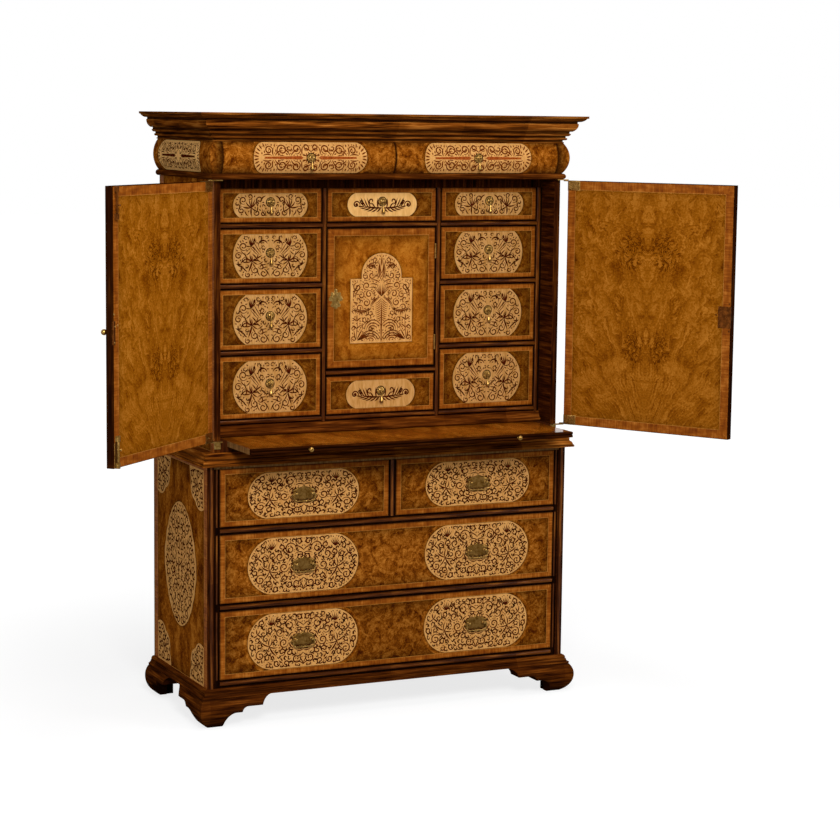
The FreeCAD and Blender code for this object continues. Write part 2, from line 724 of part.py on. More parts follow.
def butt_hinge(level):
    """Door leaf with its two outer knuckles, and case leaf with the pin and the middle knuckle."""
    third = butt_height / 3
    low = level - butt_height / 2
    high = low + butt_height
    leaf_y = (nest_front - butt_knuckle_radius, nest_front + butt_leaf_depth)
    door_side = board((cupboard_x[1], cupboard_x[1] + butt_leaf_thickness), leaf_y, (low, high))
    case_side = board((centre_half - butt_leaf_thickness, centre_half), leaf_y, (low, high))
    axis = (cupboard_pivot_x, cupboard_pivot_y, low)
    barrel = pin(butt_knuckle_radius, butt_height, axis, (0, 0, 1))
    around = 2 * butt_knuckle_radius
    room_x = (cupboard_pivot_x - around, cupboard_pivot_x + around)
    room_y = (cupboard_pivot_y - around, nest_front)
    middle_room = board(room_x, room_y, (low + third, high - third))
    foot_room = board(room_x, room_y, (low, low + third + hinge_gap))
    head_room = board(room_x, room_y, (high - third - hinge_gap, high))
    bore = pin(butt_pin_radius + running_fit, butt_height, axis, (0, 0, 1))
    wire = pin(butt_pin_radius, butt_height, axis, (0, 0, 1))
    on_door = barrel.fuse(door_side).cut(middle_room).cut(bore).removeSplitter()
    on_case = barrel.fuse(case_side).cut(foot_room).cut(head_room).fuse(wire).removeSplitter()
    return on_door, on_case


butt_levels = (cupboard_levels[1] - butt_end_distance - butt_height / 2,
               cupboard_levels[0] + butt_end_distance + butt_height / 2)
butts = [butt_hinge(level) for level in butt_levels]
escutcheon_x = cupboard_x[0] + escutcheon_edge_distance
escutcheon_z = (cupboard_levels[0] + cupboard_levels[1]) / 2
half_wide = escutcheon_width / 2
half_high = escutcheon_height / 2
escutcheon = flat(
    lambda a, b: Vector(escutcheon_x + a, nest_front, escutcheon_z + b),
    (0.0, -half_high),
    ((0.55 * half_wide, -0.75 * half_high), (0.6 * half_wide, -0.45 * half_high)),
    ((half_wide, -0.2 * half_high), (0.8 * half_wide, 0.2 * half_high)),
    ((0.7 * half_wide, 0.75 * half_high), (0.0, half_high)),
    ((-0.7 * half_wide, 0.75 * half_high), (-0.8 * half_wide, 0.2 * half_high)),
    ((-half_wide, -0.2 * half_high), (-0.6 * half_wide, -0.45 * half_high)),
    ((-0.55 * half_wide, -0.75 * half_high), (0.0, -half_high)),
).extrude(Vector(0, -escutcheon_thickness, 0))
save("cupboard_door", [board(cupboard_x, cupboard_y, cupboard_levels)])
save("cupboard_brass", [escutcheon] + [butt[0] for butt in butts])
save("hinge_plates", carcass_brass + [butt[1] for butt in butts])

# Writing slide: a panel with a moulded front edge and two knobs
slide_y = (slide_front + slide_edge_depth, slide_front + slide_depth)
slide_panel = board((-slide_half, slide_half), slide_y, (slide_bottom, slide_top))
slide_travel_in = cabinet_setback - slide_edge_depth - slide_front
slide_socket_y = socket_y - slide_travel_in
slide_socket_start = (socket_x, slide_socket_y, slide_top)
slide_socket = pin(socket_radius, socket_depth, slide_socket_start, (0, 0, -1))
slide_middle = (slide_bottom + slide_top) / 2
slide_groove = slide_front + 0.3 * slide_edge_depth
bead_half_height = (slide_thickness / 2 - slide_quirk) / 2
slide_edge = flat(
    lambda y, z: Vector(-slide_half, y, z),
    (slide_y[0], slide_bottom),
    (slide_groove, slide_bottom),
    ((slide_front, slide_bottom + bead_half_height), (slide_groove, slide_middle - slide_quirk)),
    (slide_groove, slide_middle + slide_quirk),
    ((slide_front, slide_top - bead_half_height), (slide_groove, slide_top)),
    (slide_y[0], slide_top),
).extrude(Vector(2 * slide_half, 0, 0))
save("writing_slide", [slide_panel.cut(slide_socket), slide_edge])


def slide_knob(x):
    """A small turned knob on the slide's front edge."""
    start = (x, slide_groove, slide_middle)
    neck = pin(0.45 * slide_knob_radius, slide_knob_length, start, (0, -1, 0))
    ball_y = start[1] - slide_knob_length + 0.5 * slide_knob_radius
    ball = Part.makeSphere(slide_knob_radius, Vector(x, ball_y, slide_middle))
    return neck.fuse(ball).cut(slide_edge).removeSplitter()


save("slide_knobs", both_sides(slide_knob(slide_knob_spacing / 2)))


def drop_base(x, face, level):
    """The fixed part of a pear-drop pull: rosette, boss, two cheeks and the pin between them."""
    rosette = pin(rosette_radius, rosette_thickness, (x, face, level), (0, -1, 0))
    boss = pin(boss_radius, rosette_thickness + boss_thickness, (x, face, level), (0, -1, 0))
    pin_y = face - drop_pin_stand_off
    cheek_low = drop_cheek_gap / 2
    cheek_high = cheek_low + drop_cheek_thickness
    cheeks = []
    for x_span in ((x - cheek_high, x - cheek_low), (x + cheek_low, x + cheek_high)):
        cheeks.append(board(x_span, (pin_y - 2 * drop_pin_radius, face), (level - 2, level + 2)))
    wire = pin(drop_pin_radius, 2 * cheek_high, (x - cheek_high, pin_y, level), (1, 0, 0))
    return rosette.fuse([boss, wire] + cheeks).removeSplitter()


def drop_pendant(x, face, level):
    """The pear-shaped drop, which hangs by its eye from the pin."""
    pin_y = face - drop_pin_stand_off
    eye_start = (x - drop_eye_width / 2, pin_y, level)
    eye = pin(drop_eye_radius, drop_eye_width, eye_start, (1, 0, 0))
    bore = pin(drop_pin_radius + running_fit, drop_eye_width, eye_start, (1, 0, 0))
    belly = drop_belly_radius - drop_length
    quarter = drop_belly_radius * 0.5 ** 0.5
    section = flat(
        lambda r, z: Vector(x + r, pin_y, level + z),
        (0.0, -1.5 * drop_pin_radius),
        (drop_neck_radius, -1.5 * drop_pin_radius),
        (drop_neck_radius, 0.4 * belly),
        (drop_belly_radius, belly),
        ((quarter, belly - quarter), (0.0, -drop_length)),
    )
    pear = section.revolve(Vector(x, pin_y, level), Vector(0, 0, 1), 360)
    return eye.fuse(pear).cut(bore).removeSplitter()


def bail_plate(x, face, level):
    """The fixed part of a bail handle: a batwing plate and two bored posts that stand on it."""
    wide = plate_width / 2
    high = plate_height / 2
    outline = flat(
        lambda a, b: Vector(x + a, face, level + b),
        (0.0, -high),
        ((0.3 * wide, -0.75 * high), (0.5 * wide, -0.72 * high)),
        ((0.8 * wide, -0.65 * high), (wide, -0.2 * high)),
        ((0.86 * wide, 0.1 * high), (wide, 0.4 * high)),
        ((0.7 * wide, 0.55 * high), (0.5 * wide, 0.75 * high)),
        ((0.3 * wide, 0.72 * high), (0.0, high)),
        ((-0.3 * wide, 0.72 * high), (-0.5 * wide, 0.75 * high)),
        ((-0.7 * wide, 0.55 * high), (-wide, 0.4 * high)),
        ((-0.86 * wide, 0.1 * high), (-wide, -0.2 * high)),
        ((-0.8 * wide, -0.65 * high), (-0.5 * wide, -0.72 * high)),
        ((-0.3 * wide, -0.75 * high), (0.0, -high)),
    ).extrude(Vector(0, -plate_thickness, 0))
    bore_start = (x - bail_post_spacing, face - bail_stand_off, level)
    bore = pin(bail_pin_radius + running_fit, 2 * bail_post_spacing, bore_start, (1, 0, 0))
    pieces = [outline]
    for side in (-1, 1):
        post_start = (x + side * bail_post_spacing / 2, face - plate_thickness, level)
        pieces.append(pin(bail_post_radius, bail_post_length, post_start, (0, -1, 0)).cut(bore))
    return pieces


def bail_rod(x, face, level):
    """The swinging bail: two short pins, two arms, two bends and the grip."""
    rod_y = face - bail_stand_off
    arm_x = bail_post_spacing / 2 + bail_post_radius + bail_arm_gap + bail_rod_radius
    bend_level = level - bail_drop + bail_bend_radius
    bend_x = arm_x - bail_bend_radius
    pieces = [pin(bail_rod_radius, 2 * bend_x, (x - bend_x, rod_y, level - bail_drop), (1, 0, 0))]
    for side in (-1, 1):
        pin_start = (x + side * arm_x, rod_y, level)
        pin_length = bail_arm_gap + bail_rod_radius + 1.5 * bail_post_radius
        pieces.append(pin(bail_pin_radius, pin_length, pin_start, (-side, 0, 0)))
        arm_start = (x + side * arm_x, rod_y, bend_level)
        pieces.append(pin(bail_rod_radius, level - bend_level, arm_start, (0, 0, 1)))
        pieces.append(Part.makeSphere(bail_rod_radius, Vector(*pin_start)))
        start_angle = 180 if side < 0 else 270
        middle = Vector(0, 0, 0)
        bend = Part.makeTorus(bail_bend_radius, bail_rod_radius, middle, Vector(0, 0, 1), -180, 180, 90)
        bend.rotate(middle, Vector(0, 0, 1), start_angle)
        bend.rotate(middle, Vector(1, 0, 0), 90)
        bend.translate(Vector(x + side * bend_x, rod_y, bend_level))
        pieces.append(bend)
    return pieces[0].fuse(pieces[1:]).removeSplitter()


def drawer_box(x, front_back, back, levels, wall):
    """Two sides, a back and a bottom, which stand behind a drawer's front."""
    wall_levels = (levels[0], levels[1] - drawer_wall_drop)
    floor_bottom = levels[0] + drawer_floor_lift
    floor_levels = (floor_bottom, floor_bottom + drawer_floor_thickness)
    inside_x = (x[0] + wall, x[1] - wall)
    left = board((x[0], x[0] + wall), (front_back, back), wall_levels)
    right = board((x[1] - wall, x[1]), (front_back, back), wall_levels)
    rear = board(inside_x, (back - wall, back), wall_levels)
    floor = board(inside_x, (front_back, back - wall), floor_levels)
    return [left, right, rear, floor]


def in_opening(low, high):
    """The span that a drawer fills in its opening, with clearance on both sides."""
    return (low + drawer_clearance, high - drawer_clearance)


def finish_drawer(name, front, x, front_back, back, levels, wall, bases):
    """Write one drawer: front, box and the fixed brass on its face."""
    save(name, [front] + drawer_box(x, front_back, back, levels, wall) + bases)


# Chest drawers: two short ones above two long ones, with one or two bail handles each
chest_face = -drawer_face_proud
chest_front_back = chest_face + chest_front_thickness
chest_drawer_back = chest_back - drawer_back_gap
short_x = in_opening(centre_stile_half, opening_half)
long_x = in_opening(-opening_half, opening_half)
short_left_x = (-short_x[1], -short_x[0])
chest_drawers = [
    ("short_drawer_left", short_left_x, rows[2], {"left_top_bail": -chest_handle_offset}),
    ("short_drawer_right", short_x, rows[2], {"right_top_bail": chest_handle_offset}),
    ("long_drawer_upper", long_x, rows[1],
     {"left_middle_bail": -chest_handle_offset, "right_middle_bail": chest_handle_offset}),
    ("long_drawer_lower", long_x, rows[0],
     {"left_bottom_bail": -chest_handle_offset, "right_bottom_bail": chest_handle_offset}),
]
for name, x, opening, bails in chest_drawers:
    levels = in_opening(*opening)
    middle_level = (opening[0] + opening[1]) / 2
    front = board(x, (chest_face, chest_front_back), levels)
    bases = []
    for bail_x in bails.values():
        bases += bail_plate(bail_x, chest_face, middle_level)
    finish_drawer(name, front, x, chest_front_back, chest_drawer_back, levels, chest_wall, bases)
    for bail_name, bail_x in bails.items():
        save(bail_name, [bail_rod(bail_x, chest_face, middle_level)])

# Interior drawers: four on each side of the cupboard, one above it and one below
nest_front_back = nest_front + nest_front_thickness
nest_drawer_back = cabinet_board_back - drawer_back_gap
right_column_x = in_opening(column_inner, nest_half)
left_column_x = (-right_column_x[1], -right_column_x[0])
centre_x = in_opening(-centre_half, centre_half)
nest_drawers = []
for number, row in enumerate(reversed(nest_rows), start=1):
    nest_drawers.append(("left_drawer_%d" % number, left_column_x, row))
    nest_drawers.append(("right_drawer_%d" % number, right_column_x, row))
nest_drawers.append(("centre_drawer_top", centre_x, nest_rows[3]))
nest_drawers.append(("centre_drawer_bottom", centre_x, (nest_floor, centre_drawer_top)))
for name, x, opening in nest_drawers:
    levels = in_opening(*opening)
    middle_x = (x[0] + x[1]) / 2
    middle_level = (opening[0] + opening[1]) / 2
    pull_level = middle_level + drop_length / 4
    front = board(x, (nest_front, nest_front_back), levels)
    bases = [drop_base(middle_x, nest_front, pull_level)]
    finish_drawer(name, front, x, nest_front_back, nest_drawer_back, levels, nest_wall, bases)
    save(name.replace("drawer", "pull"), [drop_pendant(middle_x, nest_front, pull_level)])

# Frieze drawers: cushion-shaped fronts that meet in the middle
frieze_levels_in = in_opening(frieze_bottom, frieze_top)
frieze_front_back = cabinet_setback + chest_front_thickness
frieze_face = cabinet_setback - frieze_bulge
frieze_middle = (frieze_bottom + frieze_top) / 2
frieze_front_x = in_opening(0.0, cabinet_inner)
frieze_box_x = in_opening(divider_half, cabinet_inner)
cushion_front = flat(
    lambda y, z: Vector(frieze_front_x[0], y, z),
    (frieze_front_back, frieze_levels_in[0]),
    (cabinet_setback - cushion_foot, frieze_levels_in[0]),
    ((frieze_face, frieze_middle), (cabinet_setback - cushion_head, frieze_levels_in[1])),
    (frieze_front_back, frieze_levels_in[1]),
).extrude(Vector(frieze_front_x[1] - frieze_front_x[0], 0, 0))
frieze_pull_x = (frieze_front_x[0] + frieze_front_x[1]) / 2
frieze_base = drop_base(frieze_pull_x, frieze_face, frieze_middle)
rim_sink = pin(rosette_radius, rosette_thickness, (frieze_pull_x, frieze_face, frieze_middle), (0, 1, 0))
frieze_base = frieze_base.fuse(rim_sink).cut(cushion_front).removeSplitter()
frieze_box = drawer_box(frieze_box_x, frieze_front_back, nest_drawer_back, frieze_levels_in, chest_wall)
frieze_pendant = drop_pendant(frieze_pull_x, frieze_face, frieze_middle)
save("frieze_drawer_right", [cushion_front] + frieze_box + [frieze_base])
save("frieze_drawer_left", [mirrored(piece) for piece in [cushion_front] + frieze_box + [frieze_base]])
save("frieze_pull_right", [frieze_pendant])
save("frieze_pull_left", [mirrored(frieze_pendant)])
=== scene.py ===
# %% [markdown]
# # A walnut escritoire with seaweed marquetry
# The real piece is a cabinet on a chest. Its carcass is plain oak, and everything that shows is veneer:
# burr walnut fields, bands of walnut laid across the grain, pale boxwood panels with sawn scrolls, and
# mouldings faced with short cross-grained slips. The solids give the places and sizes, and this lesson
# dresses them. The first cell loads the solids, which never move.

# %% Load the frame
import bmesh
import bpy
import numpy as np
from mathutils import Matrix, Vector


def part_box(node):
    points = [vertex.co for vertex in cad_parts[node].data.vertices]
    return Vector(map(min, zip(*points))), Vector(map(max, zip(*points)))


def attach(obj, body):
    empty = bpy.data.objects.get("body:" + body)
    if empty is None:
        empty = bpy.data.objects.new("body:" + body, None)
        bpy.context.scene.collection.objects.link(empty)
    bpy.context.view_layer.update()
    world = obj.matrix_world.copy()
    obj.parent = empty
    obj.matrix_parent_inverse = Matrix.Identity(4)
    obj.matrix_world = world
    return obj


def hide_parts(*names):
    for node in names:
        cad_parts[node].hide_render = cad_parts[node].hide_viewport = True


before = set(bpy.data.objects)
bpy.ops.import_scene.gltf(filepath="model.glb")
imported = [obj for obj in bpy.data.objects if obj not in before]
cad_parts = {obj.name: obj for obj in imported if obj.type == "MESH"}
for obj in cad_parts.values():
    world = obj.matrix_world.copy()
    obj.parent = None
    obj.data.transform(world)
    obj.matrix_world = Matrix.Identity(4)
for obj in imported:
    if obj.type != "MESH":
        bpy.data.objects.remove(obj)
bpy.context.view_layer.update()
MM = 0.001


def spans(name):
    """The two ends of a solid along x, y and z."""
    return tuple(zip(*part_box(name)))


# %% [markdown]
# ## The camera
# The camera stands where the photograph was taken from: left of the middle, at about eye height, with a
# long lens. Its three turns and its place were worked out from straight edges of the piece, so the render
# and the photograph can be laid over each other.

# %% Camera
IMAGE_SIZE = 840
FOCAL_PIXELS = 2316.9
SENSOR_WIDTH = 36.0
CAMERA_PLACE = np.array([-2.6934, -5.8135, 1.6746])
CAMERA_YAW, CAMERA_PITCH, CAMERA_ROLL = np.radians([25.534, -7.549, -0.690])

forward = np.array([np.sin(CAMERA_YAW) * np.cos(CAMERA_PITCH),
                    np.cos(CAMERA_YAW) * np.cos(CAMERA_PITCH), np.sin(CAMERA_PITCH)])
level_right = np.array([np.cos(CAMERA_YAW), -np.sin(CAMERA_YAW), 0.0])
level_down = np.cross(forward, level_right)
image_right = np.cos(CAMERA_ROLL) * level_right + np.sin(CAMERA_ROLL) * level_down
image_down = -np.sin(CAMERA_ROLL) * level_right + np.cos(CAMERA_ROLL) * level_down
camera_data = bpy.data.cameras.new("camera")
camera_data.sensor_width = SENSOR_WIDTH
camera_data.lens = FOCAL_PIXELS / IMAGE_SIZE * SENSOR_WIDTH
camera = bpy.data.objects.new("camera", camera_data)
bpy.context.scene.collection.objects.link(camera)
turn = np.column_stack([image_right, -image_down, -forward])
camera.matrix_world = Matrix.Translation(CAMERA_PLACE) @ Matrix(turn.tolist()).to_4x4()
bpy.context.scene.camera = camera
print("camera lens", round(camera_data.lens, 1), "mm")

# %% [markdown]
# ## Helpers for finishes
# A finish is a tree of nodes. One function turns a colour as it is read off a screen into the linear light
# that the shader needs, and one adds a node with its settings and links. Every length in a pattern is given
# in millimetres and turned into a scale there.

# %% Colour and node helpers


def linear(hex_colour):
    """sRGB hex to linear RGBA: values over 0.04045 follow the 2.4 power, the rest a straight line."""
    srgb = np.array([int(hex_colour[i:i + 2], 16) for i in (1, 3, 5)]) / 255.0
    light = np.where(srgb > 0.04045, ((srgb + 0.055) / 1.055) ** 2.4, srgb / 12.92)
    return (*light.tolist(), 1.0)


def add_node(tree, kind, inputs=None, stops=(), **settings):
    """One node with its settings: inputs are values, sockets or nodes, and stops are a ramp's colours."""
    node = tree.nodes.new("ShaderNode" + kind)
    for key, value in settings.items():
        setattr(node, key, value)
    for key, value in (inputs or {}).items():
        if isinstance(value, bpy.types.Node):
            value = value.outputs[0]
        if isinstance(value, bpy.types.NodeSocket):
            tree.links.new(value, node.inputs[key])
        else:
            node.inputs[key].default_value = value
    for place, colour in stops:
        node.color_ramp.elements.new(place).color = linear(colour)
    if stops:
        node.color_ramp.elements.remove(node.color_ramp.elements[0])
        node.color_ramp.elements.remove(node.color_ramp.elements[-1])
    return node


def start_finish(name, source="UV", **shader):
    """A new material, its tree, its shader with constant values on its sockets, and where it reads places."""
    material = bpy.data.materials.new(name)
    material.use_nodes = True
    tree = material.node_tree
    surface = tree.nodes["Principled BSDF"]
    for key, value in shader.items():
        surface.inputs[key.replace("_", " ")].default_value = value
    return material, tree, surface, add_node(tree, "TexCoord").outputs[source]


def per_size(*sizes_mm):
    """The scale of a pattern whose sizes along the axes are given in millimetres."""
    return tuple(1.0 / (size * MM) for size in sizes_mm)


# %% [markdown]
# ## Walnut in strips
# Bands and mouldings are faced with strips of walnut. Their pieces carry two maps. The first is in metres:
# U runs along the strip and V across it. Streaks are noise with one size along U and another along V, so
# the same function gives grain along a moulding or across a band, and slips are steps in U. The second
# map, Shade, holds one number from dark to clear. It carries old polish and dirt along borders and in
# hollows. It also carries painted shade: in hollows and creases, in the gaps between parts, and on
# surfaces that face away from the lamps. A soft gloss is enough: strong polish would lay a white veil over
# dark wood.

# %% Streaked walnut
# The dark that the Shade map mixes in: old polish, and painted shade.
POLISH_AND_SHADE = "#180802"


def darkened_by_shade_map(tree, colour):
    """The colour where the Shade map is one, and the dark of old polish and painted shade where it is zero.
    """
    shade = add_node(tree, "UVMap", uv_map="Shade")
    level = add_node(tree, "SeparateXYZ", {"Vector": shade})
    mixed = add_node(tree, "Mix", {0: level, 6: linear(POLISH_AND_SHADE), 7: colour}, data_type="RGBA")
    return mixed.outputs[2]


def weighed(tree, *layers):
    """The sum of layers, each a node and its weight."""
    total = 0.0
    for layer, weight in layers:
        total = add_node(tree, "Math", {0: layer, 1: weight, 2: total}, operation="MULTIPLY_ADD")
    return total


def colour_by(tree, surface, value, stops, relief=(), use_shade_map=True):
    """Colour the shader by a value through a ramp; relief is (height, strength, depth in mm)."""
    colour = add_node(tree, "ValToRGB", {"Fac": value}, stops).outputs["Color"]
    tree.links.new(darkened_by_shade_map(tree, colour) if use_shade_map else colour, surface.inputs["Base Color"])
    if relief:
        height, strength, depth_mm = relief
        bump = add_node(tree, "Bump", {"Height": height, "Strength": strength, "Distance": depth_mm * MM})
        tree.links.new(bump.outputs["Normal"], surface.inputs["Normal"])


def streaked(name, colours, streak_mm, polish, slip_mm=200, gloss=0.0, patch_mm=(130, 9)):
    """Streaks of given sizes along and across a run, slips of a given length, and a soft polish."""
    material, tree, surface, place = start_finish(name, Roughness=polish, Specular_IOR_Level=gloss)
    along = add_node(tree, "SeparateXYZ", {"Vector": place})
    slip = add_node(tree, "Math", {0: along, 1: per_size(slip_mm)[0]}, operation="MULTIPLY")
    step = add_node(tree, "Math", {0: slip}, operation="FLOOR")
    tone = add_node(tree, "TexWhiteNoise", {"W": step}, noise_dimensions="1D")
    fine = add_node(tree, "Mapping", {"Vector": place, "Scale": (*per_size(*streak_mm), 1.0)})
    streak = add_node(tree, "TexNoise", {"Vector": fine, "Scale": 0.55, "Detail": 5.0, "Roughness": 0.62,
                                         "Distortion": 0.35})
    broad = add_node(tree, "Mapping", {"Vector": place, "Scale": (*per_size(*patch_mm), 1.0)})
    patch = add_node(tree, "TexNoise", {"Vector": broad, "Scale": 0.9, "Detail": 3.0})
    value = weighed(tree, (streak, 0.5), (patch, 0.46), (tone, 0.06))
    colour_by(tree, surface, value, zip((0.38, 0.52, 0.66), colours), (streak, 0.15, 0.3))
    return material


moulding_walnut = streaked("moulding_walnut", ("#2a0d02", "#8c4a12", "#d48636"), (60, 3), 0.36)
# A darker copy of the moulding walnut, for the base, the feet, the small frieze moulding and the nest's base
# moulding, which lie low, under overhangs or in recesses: painted shade.
shaded_moulding_walnut = streaked("dark_moulding_walnut", ("#240b02", "#522607", "#8a4c17"), (60, 3), 0.36)
bead_walnut = streaked("dark_walnut_slips", ("#160601", "#341404", "#5e300b"), (50, 3), 0.4)
# Near black: painted shadow, on the flats of rails and posts that sink into the gaps between drawers, and on
# the hidden blocks of the feet.
painted_shadow_walnut = streaked("shadow_walnut", ("#080201", "#140602", "#221004"), (50, 3), 0.5)
polished_bead = streaked("polished_bead", ("#240c02", "#542808", "#96581c"), (50, 2), 0.2, gloss=0.1)
crossband = streaked("crossbanded_walnut", ("#6a310a", "#8a4910", "#ae6926"), (2.8, 34), 0.44, 60, 0.02,
                     (38, 14))
pale_string = streaked("boxwood_stringing", ("#8a5319", "#b0752f", "#c88c46"), (2.4, 30), 0.44, 40, 0.02,
                       (38, 14))
print("streaked finishes:", moulding_walnut.name, bead_walnut.name, crossband.name, pale_string.name)

# %% [markdown]
# ## Burr walnut
# Burr veneer is cut from knotted growth: clouds of light and dark a finger wide, swirled, with small dark
# eyes. It is noise bent by another noise, with a finer layer of eyes.

# %% Burr finishes


def burr(name, colours, cloud_mm, eye_mm, polish, stretch=1.0, gloss=0.0):
    """Swirled clouds of a given size with dark eyes, drawn out along V by the stretch."""
    material, tree, surface, place = start_finish(name, Roughness=polish, Specular_IOR_Level=gloss)
    scale = (*per_size(cloud_mm, cloud_mm * stretch), 1.0)
    spread = add_node(tree, "Mapping", {"Vector": place, "Scale": scale})
    bend = add_node(tree, "TexNoise", {"Vector": spread, "Scale": 0.45, "Detail": 3.0})
    bent = add_node(tree, "VectorMath", {0: bend.outputs["Color"], 1: (2.6, 2.6, 0.0), 2: spread},
                    operation="MULTIPLY_ADD")
    cloud = add_node(tree, "TexNoise", {"Vector": bent, "Scale": 0.8, "Detail": 6.0, "Roughness": 0.66,
                                        "Distortion": 0.6})
    fine = add_node(tree, "Mapping", {"Vector": place, "Scale": per_size(eye_mm, eye_mm, eye_mm)})
    eyes = add_node(tree, "TexNoise", {"Vector": fine, "Scale": 0.5, "Detail": 4.0, "Roughness": 0.7,
                                       "Distortion": 1.6})
    value = weighed(tree, (cloud, 0.6), (eyes, 0.42))
    colour_by(tree, surface, value, zip((0.4, 0.51, 0.62), colours), (eyes, 0.08, 0.2))
    return material


drawer_burr = burr("drawer_burr_walnut", ("#471a02", "#84460c", "#b47026"), 17, 4.5, 0.42)
nest_burr = burr("nest_burr_walnut", ("#481d03", "#6e3b09", "#925a1b"), 17, 4.5, 0.42)
side_burr = burr("side_burr_walnut", ("#4c1e02", "#84460c", "#b06c22"), 34, 6, 0.44, 2.2)
cupboard_walnut = burr("cupboard_walnut", ("#713606", "#965311", "#b57021"), 30, 6, 0.4, 1.3)
slide_walnut = burr("slide_walnut", ("#562502", "#864607", "#b26a1c"), 60, 7, 0.12, 2.5, 0.4)
print("burr finishes:", drawer_burr.name, nest_burr.name, side_burr.name, slide_walnut.name)

# %% [markdown]
# ## Feathered walnut of the doors
# The doors have two leaves opened like a book, so their UV map is folded about the middle: U is the
# distance from the middle line and V the height. Fine feathers rise outwards in a fan, so their noise is
# read in polar coordinates about a point below the door: fast across the rays, slow along them. Beside the
# middle line stand two spots of wild growth. There the grain curls, and dark lines appear where a strongly
# bent noise passes through its middle value, as contour lines do on a map.

# %% Feathered finish
FAN_ROOT = (-0.03, -0.1)
GROWTH_SPOTS = (((0.052, 0.505), (0.075, 0.085), 0.26), ((0.04, 0.235), (0.06, 0.075), 0.2))


def growth(tree, place, curl, middle, reach, depth):
    """How much one spot darkens the wood: contour lines and a tint, fading out with distance."""
    near = add_node(tree, "Mapping", {"Vector": place, "Location": (*middle, 0.0), "Scale": (*reach, 1.0)},
                    vector_type="TEXTURE")
    distance = add_node(tree, "VectorMath", {0: near}, operation="LENGTH").outputs["Value"]
    mask = add_node(tree, "MapRange", {"Value": distance, "From Min": 0.25, "From Max": 1.0, "To Min": 1.0,
                                       "To Max": 0.0}, interpolation_type="SMOOTHSTEP")
    middle_value = add_node(tree, "Math", {0: curl, 1: 0.5}, operation="SUBTRACT")
    away = add_node(tree, "Math", {0: middle_value}, operation="ABSOLUTE")
    line = add_node(tree, "MapRange", {"Value": away, "From Min": 0.0, "From Max": 0.05, "To Min": depth,
                                       "To Max": 0.08 * depth})
    return add_node(tree, "Math", {0: mask, 1: line}, operation="MULTIPLY")


def feathered(name, colours, polish):
    """Clouds, fine feathers in a fan, small pins, and two dark spots of wild growth."""
    material, tree, surface, place = start_finish(name, Roughness=polish, Specular_IOR_Level=0.0)
    cloud = add_node(tree, "TexNoise", {"Vector": place, "Scale": 17.0, "Detail": 6.0, "Roughness": 0.66,
                                        "Distortion": 0.9})
    away = add_node(tree, "VectorMath", {0: place, 1: (*FAN_ROOT, 0.0)}, operation="SUBTRACT")
    distance = add_node(tree, "VectorMath", {0: away}, operation="LENGTH").outputs["Value"]
    split = add_node(tree, "SeparateXYZ", {"Vector": away}).outputs
    angle = add_node(tree, "Math", {0: split["Y"], 1: split["X"]}, operation="ARCTAN2")
    polar = add_node(tree, "CombineXYZ", {"X": angle, "Y": distance})
    bend = add_node(tree, "VectorMath", {0: cloud.outputs["Color"], 1: (0.22, 0.22, 0.0), 2: polar},
                    operation="MULTIPLY_ADD")
    rays = add_node(tree, "Mapping", {"Vector": bend, "Scale": (60.0, 12.0, 1.0)})
    feather = add_node(tree, "TexNoise", {"Vector": rays, "Scale": 1.0, "Detail": 5.0, "Roughness": 0.6,
                                          "Distortion": 0.4})
    pins = add_node(tree, "TexNoise", {"Vector": place, "Scale": 170.0, "Detail": 3.0, "Roughness": 0.7})
    curl = add_node(tree, "TexNoise", {"Vector": place, "Scale": 24.0, "Detail": 3.0, "Roughness": 0.6,
                                       "Distortion": 3.4})
    value = weighed(tree, (cloud, 0.34), (feather, 0.42), (pins, 0.24))
    for spot in GROWTH_SPOTS:
        value = add_node(tree, "Math", {0: value, 1: growth(tree, place, curl, *spot)}, operation="SUBTRACT")
    colour_by(tree, surface, value, zip((0.24, 0.41, 0.5, 0.62), colours))
    return material


door_walnut = feathered("door_feathered_walnut", ("#321401", "#693403", "#8d510b", "#b57326"), 0.38)
print("feathered finish:", door_walnut.name)

# %% [markdown]
# ## Boxwood, scroll wood, oak and brass
# Boxwood is dense and pale, with almost no figure. The scrolls are dyed fruitwood, purple-brown. The oak of
# the hidden boards has long grain and open pores, and reads Object coordinates because the solids that stay
# carry no UV map. Brass that has been handled for long is olive in its hollows and bright only where it is
# rubbed.

# %% Plain finishes


def plain_wood(name, dark, light, grain_mm, polish=0.42, source="UV"):
    """Long grain along the last axis of its coordinates, with pores as relief."""
    material, tree, surface, place = start_finish(name, source, Roughness=polish, Specular_IOR_Level=0.0)
    size = per_size(grain_mm)[0]
    scale = (size, size, size * 0.06) if source == "Object" else (size, size * 0.2, 1.0)
    along = add_node(tree, "Mapping", {"Vector": place, "Scale": scale})
    grain = add_node(tree, "TexNoise", {"Vector": along, "Scale": 0.7, "Detail": 5.0, "Roughness": 0.6,
                                        "Distortion": 0.4})
    colour_by(tree, surface, grain, [(0.35, dark), (0.68, light)], (grain, 0.15, 0.2), use_shade_map=False)
    return material


def aged_metal(name, dark, light, cloud_mm, rough_low, rough_high):
    """Metal with patina in clouds: dull where it is dark, brighter where it is rubbed."""
    material, tree, surface, place = start_finish(name, "Object", Metallic=1.0)
    cloud = add_node(tree, "TexNoise", {"Vector": place, "Scale": per_size(cloud_mm)[0], "Detail": 5.0,
                                        "Roughness": 0.65})
    dull = add_node(tree, "MapRange", {"Value": cloud, "From Min": 0.3, "From Max": 0.7, "To Min": rough_high,
                                       "To Max": rough_low})
    tree.links.new(dull.outputs[0], surface.inputs["Roughness"])
    colour_by(tree, surface, cloud, [(0.35, dark), (0.65, light)], (cloud, 0.1, 0.3), use_shade_map=False)
    return material


